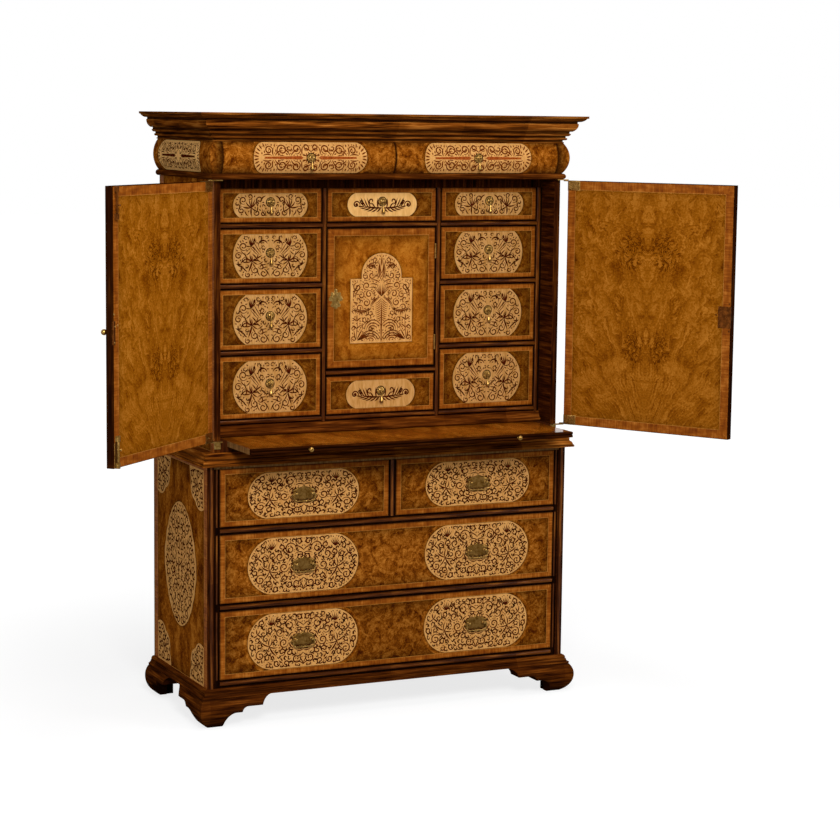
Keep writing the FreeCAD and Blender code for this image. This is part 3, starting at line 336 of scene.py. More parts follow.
boxwood = plain_wood("boxwood", "#c08645", "#d69f5c", 6)
nest_boxwood = plain_wood("nest_boxwood", "#ac793b", "#c8965a", 6)
light_boxwood = plain_wood("light_boxwood", "#d49d58", "#e8b56f", 6)
spine_wood = plain_wood("stained_spine", "#7a3210", "#a5501f", 4, 0.4)
red_scroll = plain_wood("stained_fruitwood", "#52200a", "#743510", 4)
scroll_wood = plain_wood("dyed_fruitwood", "#341004", "#561e0a", 4)
oak = plain_wood("oak", "#6b4a26", "#9a7142", 6, 0.55, "Object")
top_oak = plain_wood("top_oak", "#6b4a26", "#9a7142", 6, 0.55)
dark_walnut = plain_wood("dark_walnut", "#2a1105", "#4a220c", 8, 0.4, "Object")
dark_line = plain_wood("ebonised_line", "#160602", "#2c1206", 3)
brass = aged_metal("aged_brass", "#7c5822", "#c29a54", 9, 0.22, 0.42)
plate_brass = aged_metal("plate_brass", "#664416", "#98723a", 9, 0.3, 0.5)
dark_brass = aged_metal("tarnished_brass", "#4c280d", "#703e16", 12, 0.4, 0.6)
print("plain finishes:", boxwood.name, scroll_wood.name, oak.name, brass.name, dark_brass.name)

# %% [markdown]
# ## Collecting surfaces into pieces
# Every new piece is a set of grids. A grid is an array of points with two parameters; each four neighbours
# make a face, and the face looks outwards when the first parameter runs to the right and the second upwards
# as seen from outside. The collector below joins grids into one mesh with a finish for each grid, merges
# doubled points so that seams and poles close, and marks edges sharper than a given angle.

# %% Piece collector
SHARP_ANGLE = np.radians(32)
MERGE_DISTANCE = 1e-6


class Piece:
    """Grids of points, with UV in metres and a finish each, which become one mesh."""

    def __init__(self, name):
        self.name = name
        self.points, self.uv, self.shade = [], [], []
        self.quads, self.indices, self.finishes = [], [], []
        self.count = 0
        self.put()

    def put(self, turn=np.eye(3), place=(0.0, 0.0, 0.0)):
        """Turn and place that the next grids get; a mirroring turn also turns their faces."""
        self.turn, self.place = np.asarray(turn, float), np.asarray(place, float)

    def add(self, points, finish, uv=None, flip=False, shade=1.0):
        """Points of shape (..., right, up, 3): stacked grids are added at once, after the piece's turn."""
        points = np.asarray(points, float)
        if uv is None:
            uv = points[..., [0, 2]]
        points = points @ self.turn.T + self.place
        flip = flip != (np.linalg.det(self.turn) < 0)
        grids = points.reshape((-1,) + points.shape[-3:])
        number = self.count + np.arange(grids[..., 0].size).reshape(grids.shape[:3])
        corners = [number[:, :-1, :-1], number[:, 1:, :-1], number[:, 1:, 1:], number[:, :-1, 1:]]
        quads = np.stack(corners[::-1] if flip else corners, -1).reshape(-1, 4)
        if finish not in self.finishes:
            self.finishes.append(finish)
        self.points.append(grids.reshape(-1, 3))
        self.uv.append(np.broadcast_to(uv, points.shape[:-1] + (2,)).reshape(-1, 2))
        self.shade.append(np.broadcast_to(shade, points.shape[:-1]).ravel())
        self.quads.append(quads)
        self.indices.append(np.full(len(quads), self.finishes.index(finish)))
        self.count += grids[..., 0].size

    def build(self, body, slot, replaced=(), move=None):
        """Make the mesh, put it on its body, and hide the solids that it stands for."""
        points = np.concatenate(self.points)
        if move is not None:
            points = move(points)
        quads = np.concatenate(self.quads)
        mesh = bpy.data.meshes.new(self.name)
        mesh.from_pydata(points.tolist(), [], quads.tolist())
        uv = np.concatenate(self.uv)[quads.ravel()]
        mesh.uv_layers.new(name="UVMap").data.foreach_set("uv", uv.ravel())
        shade = np.concatenate(self.shade)[quads.ravel()]
        mesh.uv_layers.new(name="Shade").data.foreach_set("uv", joined(shade, shade).ravel())
        mesh.uv_layers["UVMap"].active_render = True
        mesh.polygons.foreach_set("material_index", np.concatenate(self.indices))
        for finish in self.finishes:
            mesh.materials.append(finish)
        shape = bmesh.new()
        shape.from_mesh(mesh)
        bmesh.ops.remove_doubles(shape, verts=shape.verts, dist=MERGE_DISTANCE)
        shape.to_mesh(mesh)
        shape.free()
        mesh.polygons.foreach_set("use_smooth", np.ones(len(mesh.polygons), bool))
        mesh.set_sharp_from_angle(angle=SHARP_ANGLE)
        piece = bpy.data.objects.new(self.name, mesh)
        bpy.context.scene.collection.objects.link(piece)
        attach(piece, body)
        if replaced:
            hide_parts(*replaced)
        print(self.name, "rides on", body, "with", len(mesh.polygons), "faces")


# %% Array helpers


def mm(*values):
    """Sizes in millimetres, as an array in metres."""
    return np.array(values, float) * MM


def joined(*arrays):
    """Arrays spread over each other and put side by side along a new last axis."""
    return np.stack(np.broadcast_arrays(*arrays), -1)


def around(angle):
    """Points on a circle of radius one, at given angles."""
    return joined(np.cos(angle), np.sin(angle))


def mirror(sign):
    """Turn for a side: as drawn for the right one, mirrored for the left one."""
    return np.diag([sign, 1, 1])


def drawn_in(span, inset):
    """A span made shorter by an inset at both ends."""
    return span[0] + inset, span[1] - inset


# %% Lines, boards and borders


def outline(start, *moves, steps=8):
    """An open line in a plane: a move is a point, or (point on the way, end) for an arc through both."""
    stretches = [np.array([start], float)]
    here = np.array(start, float)
    for move in moves:
        if np.ndim(move) == 1:
            stretches.append(np.array([move], float))
        else:
            way, end = np.array(move, float)
            a, b = way - here, end - here
            area = 2 * (a[0] * b[1] - a[1] * b[0])
            square = np.array([b[1] * (a @ a) - a[1] * (b @ b), a[0] * (b @ b) - b[0] * (a @ a)])
            middle = here + square / area
            angle = np.arctan2(*(np.array([here, way, end]) - middle).T[::-1])
            turning = np.sign(area)
            sweep = (turning * (angle[2] - angle[0])) % (2 * np.pi) * turning
            angles = angle[0] + sweep * np.linspace(0, 1, steps + 1)[1:]
            radius = np.hypot(*(here - middle))
            stretches.append(middle + radius * around(angles))
        here = stretches[-1][-1]
    return np.concatenate(stretches)


def run_length(line):
    """Distance along a line from its start, at each point."""
    return np.concatenate([[0], np.cumsum(np.linalg.norm(np.diff(line, axis=0), axis=1))])


def board(piece, ends, finish):
    """A plain board between two ends along x, y and z; U runs along each face's first direction."""
    low, high = np.sort(np.array(ends, float), axis=1).T
    for axis in range(3):
        right, up = (axis + 1) % 3, (axis + 2) % 3
        for end in (0, 1):
            face = np.zeros((2, 2, 3))
            face[..., axis] = high[axis] if end else low[axis]
            face[..., right] = np.array([low[right], high[right]])[:, None]
            face[..., up] = np.array([low[up], high[up]])[None, :]
            piece.add(face, finish, face[..., [right, up]], flip=not end)


def flat_face(piece, x, z, depth, finish, uv=None, shade=1.0):
    """Columns and levels at one depth; the face looks forward, or back where x runs to the left."""
    columns, levels = np.meshgrid(x, z, indexing="ij")
    piece.add(joined(columns, depth, levels), finish, uv, shade=shade)


def lay_border(piece, x, z, rings, finish, shade=1.0, plain=False):
    """Four mitred strips round a rectangle seen from the front, of rings (inset, depth); U runs along."""
    inset, depth = np.array(rings, float).T
    (left, right), (foot, head) = drawn_in(x, inset), drawn_in(z, inset)
    corners = np.stack([joined(left, depth, foot), joined(right, depth, foot),
                        joined(right, depth, head), joined(left, depth, head)])
    strips = np.stack([corners, np.roll(corners, -1, 0)], 1)
    along = np.stack([strips[0::2, ..., 0], strips[1::2, ..., 2]], 1).reshape(4, 2, -1)
    uv = None if plain else joined(along, run_length(np.array(rings)))
    piece.add(strips, finish, uv, shade=shade)


print("helpers ready")

# %% [markdown]
# ## Drawing seaweed marquetry
# The marquetry cutter sawed two stacked veneers, pale and dark, along one line of scrolls, and swapped the
# waste. Three kinds of line make it: coils that wind in to a bud, leaves shaped like commas, and stems. On
# each panel the bold lines are placed one by one, as a designer would, in tables of place, heading, length,
# curl and width. The rest of the panel is filled by rule: circles are packed into what is left, large ones
# first, every circle gets a coil that starts where it touches its parent and winds the other way, and small
# leaves fill the gaps. The left half mirrors the right.

# %% Coils and leaves
SPOTS = 6000
COIL_STEPS, LEAF_STEPS = 30, 10
EYE_SHARE = 0.74
SCROLL_LEAVES = [(0.04, -0.3, -0.5, 1.15), (0.15, -0.35, -0.7, 1.0), (0.27, -0.4, -0.8, 0.9),
                 (0.4, -0.45, -0.9, 0.75), (0.53, -0.5, -1.0, 0.65), (0.2, 0.35, 1.2, 0.6)]


def strip(lines, half_width):
    """Strips along lines (..., steps, 2): edges stand off by the half width, or less in a hard bend."""
    ahead = np.gradient(lines, axis=-2)
    step = np.linalg.norm(ahead, axis=-1, keepdims=True) + 1e-12
    ahead /= step
    bend = np.linalg.norm(np.gradient(ahead, axis=-2), axis=-1) / step[..., 0]
    half_width = np.minimum(half_width, 0.9 / (bend + 1e-9))
    aside = joined(-ahead[..., 1], ahead[..., 0]) * half_width[..., None]
    return np.stack([lines - aside, lines + aside], -2)


def coil_lines(circles, start, sense, turns):
    """Coils on circles (x, z, radius): the angle grows evenly and the radius falls to a small eye."""
    t = np.linspace(0, 1, COIL_STEPS)
    angle = start[:, None] + sense[:, None] * 2 * np.pi * turns[:, None] * t
    radius = circles[:, 2:] * (1 - EYE_SHARE * t ** 1.1)
    return circles[:, None, :2] + radius[..., None] * around(angle)


def coil_width(stroke):
    """Half widths of coils: thin where they spring, full in the middle, and a round bud in the eye."""
    t = np.linspace(0, 1, COIL_STEPS)
    bud = 0.95 * np.exp(-((t - 0.96) / 0.05) ** 2)
    return stroke[:, None] * (0.35 + 0.6 * np.sin(np.pi * t) ** 0.9 + bud)


def leaf_lines(base, heading, length, curl):
    """Leaf midribs: each starts at its base with a heading and turns steadily by its curl."""
    t = np.linspace(0, 1, LEAF_STEPS)
    angle = heading[:, None] + curl[:, None] * t
    moves = (length / (LEAF_STEPS - 1))[:, None, None] * around(angle)
    return base[:, None] + np.cumsum(moves, 1) - moves[:, :1]


def leaf_width(fat):
    """Half widths of comma-shaped leaves: a thin base, full past the middle, and a pointed tip."""
    t = np.linspace(0, 1, LEAF_STEPS)
    return fat[:, None] * (0.3 + 0.75 * np.sin(np.pi * t ** 0.9)) * (1 - t ** 5)


def drawn_leaves(rows, stretch=(1, 1), weight=1.0):
    """Leaves listed one by one: rows of x, z, heading in degrees, length, curl in degrees, half width, in mm.
    """
    x, z, heading, length, curl, fat = np.array(rows, float).T
    lines = leaf_lines(joined(x, z) * MM, np.radians(heading), length * MM, np.radians(curl))
    return lines * stretch, leaf_width(weight * fat * MM)


def drawn_coils(rows, stroke, stretch=(1, 1)):
    """Coils listed one by one: rows of x, z, radius, start in degrees, sense and turns, in mm."""
    x, z, radius, start, sense, turns = np.array(rows, float).T
    lines = coil_lines(joined(x, z, radius) * MM, np.radians(start), sense, turns)
    return lines * stretch, coil_width(np.full(len(rows), stroke))


# %% Filling a panel


def pack(room, window, seed, sizes, gap, taken):
    """Circles that fill a window round taken ones, large first, each close to its neighbours."""
    rng = np.random.default_rng(seed)
    spots = rng.uniform(window[0], window[1], (SPOTS, 2))
    free = room(spots)
    for x, z, radius in taken:
        free = np.minimum(free, np.hypot(spots[:, 0] - x, spots[:, 1] - z) - radius - gap)
    circles = []
    for size in sizes:
        while (free >= size).any():
            best = np.where(free >= size, free, np.inf).argmin()
            radius = min(free[best], 1.3 * size)
            circles.append((*spots[best], radius))
            free = np.minimum(free, np.hypot(*(spots - spots[best]).T) - radius - gap)
    return np.array(circles).reshape(-1, 3)


def seaweed(room, window, seed, sizes, stroke, gap, drawn=(), turns=1.2, slips=(3.4, 2.6, 2.0)):
    """Strips of half a panel: the listed lines, packed scrolls with their leaves, and small slips.

    A scroll's leaves spring from its coil. Each row of SCROLL_LEAVES gives the share along the coil, the lean
    in or out, the curl in radians and the length as a share of the scroll's radius.
    """
    rng = np.random.default_rng(seed + 1)
    strips = [strip(lines, width) for lines, width in drawn]
    taken = [(*point, 1.3 * stroke) for lines, _ in drawn for point in lines[:, ::2].reshape(-1, 2)]

    def right_room(points):
        return np.minimum(room(points), points[:, 0] - 0.2 * gap)
    circles = pack(right_room, window, seed, sizes, gap, taken)
    count = len(circles)
    start, sense = np.full(count, np.pi), np.ones(count)
    for i in range(1, count):
        apart = circles[:i, :2] - circles[i, :2]
        parent = (np.hypot(*apart.T) - circles[:i, 2]).argmin()
        start[i], sense[i] = np.arctan2(apart[parent, 1], apart[parent, 0]), -sense[parent]
    share = np.clip(circles[:, 2] / sizes[0], 0.6, 1.1)
    width = stroke * np.clip(share, 0.75, 1.05)
    lines = coil_lines(circles, start, sense, turns * share * rng.uniform(0.9, 1.1, count))
    strips.append(strip(lines, coil_width(width)))
    for place, lean, curl, reach in SCROLL_LEAVES:
        step = int(place * (COIL_STEPS - 1))
        ahead = lines[:, step + 1] - lines[:, step]
        heading = np.arctan2(ahead[:, 1], ahead[:, 0]) + sense * lean * rng.uniform(0.85, 1.15, count)
        length = reach * circles[:, 2] * rng.uniform(0.85, 1.1, count)
        ribs = leaf_lines(lines[:, step], heading, length, sense * curl * rng.uniform(0.85, 1.15, count))
        apart = ribs[:, -1, None] - circles[None, :, :2]
        crowded = (np.hypot(apart[..., 0], apart[..., 1]) < 0.9 * circles[:, 2]) & ~np.eye(count, dtype=bool)
        inside = (room(ribs[:, -1]) > -0.5 * stroke) & (ribs[:, -1, 0] > 0) & ~crowded.any(1)
        strips.append(strip(ribs, leaf_width(width))[inside])
    if count:
        taken = taken + [tuple(circle) for circle in circles * [1, 1, 1.12]]
    spots = pack(right_room, window, seed + 2, np.array(slips) * MM, 0.5 * MM, taken)
    if count and len(spots):
        apart = spots[:, None, :2] - circles[None, :, :2]
        near = (np.hypot(apart[..., 0], apart[..., 1]) - circles[None, :, 2]).argmin(1)
        away = apart[np.arange(len(spots)), near]
        heading = np.arctan2(away[:, 1], away[:, 0]) + sense[near] * 1.2
        base = spots[:, :2] - spots[:, 2:] * around(heading)
        ribs = leaf_lines(base, heading, 2 * spots[:, 2], sense[near] * 0.8)
        strips.append(strip(ribs, leaf_width(np.minimum(0.5 * spots[:, 2], stroke))))
    return [group for group in strips if len(group)]


# %% [markdown]
# ## Panels of pale ground
# The drawers' panels have round ends: half circles on the chest, half ovals on the frieze, and on the small
# drawers a circle whose top and bottom are cut off by the bands. All are one family: straight edges above
# and below, and ends that follow an oval of a given half width and half height.

# %% Round-ended panels


def round_ended(half_width, half_height, end_wide, end_high, steps=28):
    """Edge of a panel, from the lower right, up and round: each end follows part of an oval."""
    swing = np.arcsin(min(1.0, half_height / end_high))
    angle = np.linspace(-swing, swing, steps)
    right = joined(half_width - end_wide * (1 - np.cos(angle)), end_high * np.sin(angle))
    return np.concatenate([right, -right, right[:1]])


def round_ended_room(half_width, half_height, end_wide, end_high, margin):
    """How far inside such a panel a point is, less a margin."""
    def room(points):
        x, z = np.abs(points.T)
        reach = (x - half_width + end_wide) / end_wide
        if end_wide <= half_width:
            reach = np.maximum(reach, 0)
        return np.minimum(half_height - z, (1 - np.hypot(reach, z / end_high)) * end_wide) - margin
    return room


# %% [markdown]
# ## Motifs drawn one by one
# The tables below give the bold lines of each kind of panel for its right half, measured from the panel's
# middle, or from its foot for the cupboard's tree.

# %% Motifs
chest_leaves = [
    (101, -13, -108, 38, -34, 2.0), (101, -13, 8, 32, 44, 1.7), (101, -13, 150, 26, -80, 1.5),
    (101, -13, -74, 34, 40, 1.5), (101, -13, 62, 28, 70, 1.4), (101, -13, -140, 28, -60, 1.4),
    (136, 22, 200, 20, 40, 1.8), (136, 22, 60, 18, 40, 1.6), (136, 22, -50, 18, 50, 1.5),
    (136, 22, 140, 16, -40, 1.4), (94, 44, 20, 20, 30, 1.2), (94, 44, 44, 22, 20, 1.2),
    (94, 44, 66, 24, 10, 1.2), (94, 44, 90, 25, 0, 1.2), (94, 44, 114, 24, -10, 1.2),
    (94, 44, 138, 22, -20, 1.2), (122, -58, 70, 12, 20, 1.8), (86, -50, 60, 12, 20, 1.8),
    (62, -56, 50, 12, 20, 1.8), (0, 38, 62, 30, -70, 1.3), (0, 30, 40, 30, -80, 1.3),
    (0, -36, -60, 28, 70, 1.3), (0, -28, -36, 28, 80, 1.3), (0, -70, 80, 30, -40, 1.2),
    (0, -70, 55, 30, -60, 1.2), (30, -22, 20, 24, 70, 1.5), (30, 22, -10, 24, -70, 1.4)]
chest_coils = [
    (40, 44, 18, 200, -1, 1.3), (58, -6, 14, 180, 1, 1.3), (20, -52, 14, 120, 1, 1.3),
    (70, 24, 12, 210, 1, 1.2), (128, -36, 15, 150, -1, 1.3)]
nest_leaves = [
    (53, -14, -78, 38, 12, 1.7), (53, -14, 160, 20, 40, 1.4), (53, -14, 8, 26, 40, 1.5),
    (53, -14, 45, 22, 50, 1.4), (53, -14, 100, 18, -40, 1.1), (53, -14, -130, 24, -30, 1.1),
    (53, -14, -30, 26, 40, 1.1), (52, -20, -110, 22, -24, 1.0), (40, -8, 135, 20, 20, 1.3),
    (40, -8, 60, 22, -20, 1.2), (40, -8, -120, 18, -40, 1.2), (40, -8, -20, 12, 20, 1.3),
    (40, -8, 95, 16, 30, 1.0), (27, 8, 52, 46, 10, 0.75), (31, 4, 46, 44, 14, 0.75),
    (35, 2, 38, 40, 20, 0.7), (57, 30, 80, 28, 10, 1.1), (57, 30, 100, 28, 0, 1.1),
    (57, 30, 122, 28, -10, 1.1), (57, 30, 142, 26, -20, 1.0), (57, 30, 60, 22, 30, 1.0),
    (57, 30, -20, 18, 60, 1.0), (57, 30, 200, 20, 60, 0.9), (47, 44, 92, 11, 0, 2.2),
    (9, 38, 84, 46, -200, 1.5), (24, 50, -30, 16, -100, 1.8), (84, -22, -30, 20, 60, 1.3),
    (80, -30, -10, 22, 60, 1.3), (74, -38, 10, 22, 60, 1.3), (68, -46, 24, 20, 50, 1.2),
    (86, -20, 120, 16, 40, 1.4), (94, -14, -80, 16, -30, 1.2), (70, 4, 10, 24, 60, 1.1),
    (70, 4, 160, 18, -50, 1.0), (66, -6, 30, 24, 70, 1.0), (30, -60, 40, 26, 60, 1.0),
    (3, -60, 75, 30, -40, 1.0), (8, -34, 20, 20, -80, 1.0), (12, -24, -30, 20, 60, 1.0),
    (22, -16, -60, 18, 60, 1.0)]
nest_coils = [
    (79, 30, 13, -150, 1, 1.35), (93, 2, 10.5, 160, -1, 1.3), (45, -42, 11, 60, -1, 1.2),
    (20, -52, 12, 100, 1, 1.2), (27, -32, 8, 0, -1, 1.1), (74, -12, 9, 100, -1, 1.2),
    (66, -56, 8, 60, -1, 1.1)]
branch_stem = [(0, -9, -4, 62, 18, 2.6)]
branch_leaves = [
    (13, -10, 76, 30, 22, 1.5), (22, -9.5, 66, 22, -30, 1.3), (36, -8, 60, 30, 18, 1.3),
    (43, -7, 54, 29, 18, 1.3), (50, -6, 48, 27, 18, 1.3), (56, -4.5, 40, 24, 20, 1.2),
    (15, -11, -40, 22, 24, 1.4), (26, -10.5, -34, 23, 24, 1.4), (37, -9.5, -28, 22, 26, 1.4),
    (47, -7.5, -20, 22, 26, 1.3), (56, -5, -10, 20, 30, 1.3), (60, -3, 96, 24, -40, 1.5),
    (5, -10, -50, 18, 20, 1.4)]
branch_coils = [(79, 0, 11.5, 215, -1, 1.02), (33, 10, 8.5, -95, 1, 0.85)]
branch_bud = [(74, 0.5, 0, 9.5, 0, 4.4), (62, 13, -40, 8, 0, 2.6)]
low_leaves = [
    (56, -6, -76, 26, -30, 1.6), (56, -6, -14, 30, 40, 1.4), (56, -6, 20, 26, 50, 1.2),
    (56, -6, 60, 28, 30, 1.1), (56, -6, 90, 28, 10, 1.1), (56, -6, 120, 28, -10, 1.1),
    (56, -6, 150, 24, -40, 1.2), (56, -6, -130, 24, -40, 1.2), (38, -2, 60, 24, 40, 1.0),
    (38, -2, 110, 20, -40, 1.0), (38, -2, -100, 20, 40, 1.1), (88, 4, 70, 18, 50, 1.3),
    (88, 4, -60, 18, -50, 1.2), (14, 26, -10, 26, -70, 1.3), (12, -28, 20, 24, 70, 1.2),
    (66, -28, 30, 22, 60, 1.1)]
low_coils = [
    (80, 14, 11, -120, 1, 1.25), (85, -13, 9.5, 100, -1, 1.2), (32, 15, 10, -80, 1, 1.2),
    (40, -20, 9, 60, -1, 1.2), (22, -22, 8, 100, 1, 1.1), (60, 24, 8, -60, -1, 1.1)]
tree_leaves = [
    (0, 2, 90, 126, 0, 1.5), (4, 128, -8, 44, -60, 1.3), (8, 124, -20, 40, -50, 0.9),
    (31, 99, -52, 70, 104, 1.5), (36, 100, -46, 56, 90, 0.9), (86, 128, 84, 50, 70, 1.4),
    (80, 126, 88, 40, 60, 1.0), (72, 112, 0, 16, 30, 1.5), (76, 10, 92, 62, 4, 0.8),
    (76, 62, 50, 18, -30, 1.3), (75, 62, 92, 20, 0, 1.2), (75, 62, 130, 18, 30, 1.3),
    (75, 40, 126, 20, 30, 1.1), (75, 40, 60, 18, -40, 1.1), (73, 8, 135, 40, 16, 1.6),
    (73, 8, 152, 48, -4, 1.5), (73, 8, 168, 46, -24, 1.4), (74, 10, 112, 36, 14, 1.3),
    (78, 10, 70, 28, 20, 1.2), (0, 216, 90, 26, 0, 1.6), (0, 194, 62, 38, 36, 1.2),
    (0, 184, 60, 42, 34, 1.1), (0, 174, 58, 44, 30, 1.0), (16, 205, 84, 46, -150, 1.4),
    (20, 206, 76, 32, -140, 1.0), (6, 168, 46, 30, -50, 1.1), (10, 160, 40, 30, -60, 1.1),
    (14, 152, 36, 28, -60, 1.0)]
tree_leaves += [(1 + 6.5 * row, 46 - 3 * row, 84 - 2 * row, 84 - 21 * row, -190, 1.1) for row in range(4)]
tree_leaves += [(1 + 7 * row, 6, 86 - 3 * row, 92 - 20 * row, -150, 1.1) for row in range(4)]
tree_leaves += [(1, 124 - 6.5 * row, -60 + 2 * row, 26 - row, 44, 0.75) for row in range(9)]
tree_leaves += [(0, 130, 42 + 9 * row, 44 - 2 * row, 14, 0.7) for row in range(5)]
tree_coils = [
    (46, 160, 11.5, -120, 1, 1.25), (74, 157, 13, 100, -1, 1.2), (38, 137, 11, 180, -1, 1.25),
    (62, 134, 10, 60, 1, 1.2), (46, 113, 11, 90, 1, 1.25), (67, 98, 10, 200, -1, 1.2),
    (32, 214, 11, -150, -1, 1.2), (30, 189, 10, 150, 1, 1.2), (84, 12, 8.5, -60, 1, 1.2),
    (84, 42, 7, -90, 1, 1.1), (31, 40, 8, 90, -1, 1.1)]
frieze_leaves = [
    (152, 3, 8, 15, 10, 1.3), (150, 10, 22, 15, 10, 1.3), (147, 17, 38, 15, 10, 1.3),
    (142, 23, 54, 14, 10, 1.3), (134, 27, 70, 13, 10, 1.2), (0, 16, 60, 26, -90, 1.1),
    (140, 6, 150, 30, 60, 1.1), (104, 6, 110, 30, 80, 1.2), (110, 6, 60, 24, 70, 1.2),
    (58, 6, 110, 34, 70, 1.1), (62, 6, 70, 34, -50, 1.1), (26, 8, 70, 26, 60, 1.1)]
oval_leaves = [
    (0, 0, 20, 30, 50, 1.8), (0, 0, -20, 30, -50, 1.8), (44, 34, 200, 28, 60, 1.7),
    (44, 34, 60, 22, 40, 1.5), (50, -40, 140, 28, -60, 1.7), (50, -40, -40, 22, 40, 1.5),
    (0, 60, 70, 26, -40, 1.5), (0, -60, -70, 26, 40, 1.5)]
frieze_spine = [(24 + 4.2 * row, 0, 42 - 0.5 * row, 10.5 - 0.12 * row, -24, 1.2) for row in range(26)]
frieze_spine += [(18, 0, 0, 60, 0, 1.3), (72, 0, 0, 62, 0, 1.3)]
frieze_coils = [
    (122, 20, 12, -150, -1, 1.35), (84, 21, 16, -110, 1, 1.6), (42, 23, 13, -70, -1, 1.45),
    (14, 28, 9.5, -60, -1, 1.25)]

# %% [markdown]
# ## Laying marquetry on a surface
# The ground of a panel is a fan of faces out to its edge, in rings, so that it can also follow the bulging
# frieze. The polish has darkened round it, as dirt gathers there: a halo of the field's own veneer fades
# out from the edge. Ground and scrolls stand a hair proud of each other, so no two surfaces share a plane.

# %% Laying helpers
LIFT, LINE_WIDTH, HALO_WIDTH = mm(0.12, 0.8, 11)
HALO_STEPS = np.array([1.0, 0.55, 0.25, 0.0])
HALO_SHADES = 1 - 0.55 * (1 - HALO_STEPS) ** 1.5
NO_LIMIT = np.array([(-1, -1), (1, 1)])


def front_lay(x, face, z):
    """A flat front face: across runs to the right and up runs up."""
    return lambda flat, lift: joined(x + flat[..., 0], face - lift, z + flat[..., 1])


def beside(edge, distance):
    """The line outside a closed edge that runs anticlockwise, at a distance."""
    step = np.gradient(np.concatenate([edge[-2:-1], edge, edge[1:2]]), axis=0)[1:-1]
    step /= np.linalg.norm(step, axis=-1, keepdims=True) + 1e-12
    return edge + distance * joined(step[:, 1], -step[:, 0])


def lay_panel(piece, edge, lay, ground, field, limit, middle=(0.0, 0.0), rings=2):
    """Pale ground out to an edge, a dark line round it, and a halo on the field, kept inside a limit."""
    centre = (edge.min(0) + edge.max(0)) / 2
    fan = centre + (edge - centre)[:, None] * np.linspace(1, 0, rings)[None, :, None]
    piece.add(lay(fan, LIFT), ground, fan)
    rim = np.stack([beside(edge, LINE_WIDTH), edge], 1)
    piece.add(lay(rim, LIFT), dark_line, rim)
    halo = np.stack([np.clip(beside(edge, HALO_WIDTH * step), *limit) for step in HALO_STEPS], 1)
    piece.add(lay(halo, 0.5 * LIFT), field, halo + np.array(middle), shade=HALO_SHADES)


def lay_strips(piece, strips, lay, finish, sides=(1, -1), flips=(1,)):
    """Lay strips on a surface, once for each mirror sign across (sides) and up (flips)."""
    for group in strips:
        for across in sides:
            for upward in flips:
                flat = group * np.array([across, upward])
                piece.add(lay(flat, 2 * LIFT), finish, flat, flip=across * upward < 0)


print("marquetry helpers ready")

# %% [markdown]
# ## Veneered drawers
# A drawer front is burr in the middle, framed by a crossband that is mitred at the corners, with a thin
# line between them. Its outer edge is rubbed round, which catches the light. The crossband is darkened
# over that round and down into the gap round the drawer: painted shade. Old polish is darker along the
# borders of the burr, so the field fades from a dark rim to its full colour. The box behind is oak.
# Four mitred strips make the band, because each has its own direction of grain.

# %% Drawer helpers
EDGE_ROUND, STRING_WIDTH = mm(1.5, 1.0)
RIM_INSETS = mm(0, 5, 14, 30, 56)
RIM_SHADES = np.array([0.35, 0.55, 0.74, 0.89, 1.0])
FLOOR_LIFT, FLOOR_THICK, WALL_DROP = mm(3, 6, 6)


def shaded_field(piece, x, z, face, field, clear=1.0):
    """A flat field of veneer: mitred rings that fade in from a dark rim, and a plain middle."""
    insets = RIM_INSETS * min(1.0, 0.45 * min(x[1] - x[0], z[1] - z[0]) / RIM_INSETS[-1])
    lay_border(piece, x, z, joined(insets, face), field, clear * RIM_SHADES, plain=True)
    flat_face(piece, drawn_in(x, insets[-1]), drawn_in(z, insets[-1]), face, field, shade=clear)


def banded_face(piece, x, z, face, back, band, field, clear=1.0):
    """Rounded edge, crossband, line and shaded burr field of a front seen square on."""
    turn = np.linspace(0, np.pi / 2, 5)
    rounding = joined(EDGE_ROUND * (1 - np.cos(turn)), face + EDGE_ROUND * (1 - np.sin(turn)))
    line = band - STRING_WIDTH
    rings = [(0, back), *rounding, (EDGE_ROUND + 3 * MM, face), (line, face)]
    # The crossband darkens towards the back of the rounded edge, where the gap round the drawer lies: painted
    # shade.
    shade = np.interp(np.arange(len(rings)), [0, 1, 3, 5, 6, 7], [0.1, 0.2, 0.35, 0.6, 1.0, 0.95])
    lay_border(piece, x, z, rings, crossband, shade)
    lay_border(piece, x, z, [(line, face), (band, face)], pale_string)
    shaded_field(piece, drawn_in(x, band), drawn_in(z, band), face, field, clear)


def oak_box(piece, x, z, front_back, back, wall):
    """Two sides, a back and a floor behind a front, and the front's own back face."""
    inside, level = drawn_in(x, wall), (z[0], z[1] - WALL_DROP)
    board(piece, ((x[0], inside[0]), (front_back, back), level), oak)
    board(piece, ((inside[1], x[1]), (front_back, back), level), oak)
    board(piece, (inside, (back - wall, back), level), oak)
    floor = z[0] + FLOOR_LIFT
    board(piece, (inside, (front_back, back - wall), (floor, floor + FLOOR_THICK)), oak)
    flat_face(piece, x[::-1], z, front_back, oak)


def veneered_drawer(name, face, thick, wall, band, field, clear=1.0):
    """A drawer's piece with its front and box, the front's middle, and half the height of its field."""
    x, y, z = spans(name)
    piece = Piece(name + "_dressed")
    banded_face(piece, x, z, face, face + thick, band, field, clear)
    oak_box(piece, x, z, face + thick, y[1], wall)
    return piece, sum(x) / 2, sum(z) / 2, (z[1] - z[0]) / 2 - band


# %% [markdown]
# ## The chest's four drawers
# Two short drawers stand over two long ones. Each handle sits in the middle of a dense panel, so a long
# drawer has two. The panels nearly fill the height of the burr field.

# %% Chest drawers
# A drawer's measures: where its face is, the front's thickness, the box's wall, and the crossband's width.
CHEST_DRAWER = mm(-2, 20, 12, 15)
CHEST_FACE = CHEST_DRAWER[0]
HANDLE_OFFSET, CHEST_PANEL_HALF, PANEL_MARGIN = mm(268, 165, 1.2)
CHEST_DRAWN_HALF, CHEST_STROKE = mm(77, 2.0)
CHEST_COILS = mm(10.5, 8.5, 6.8, 5.4, 4.3)

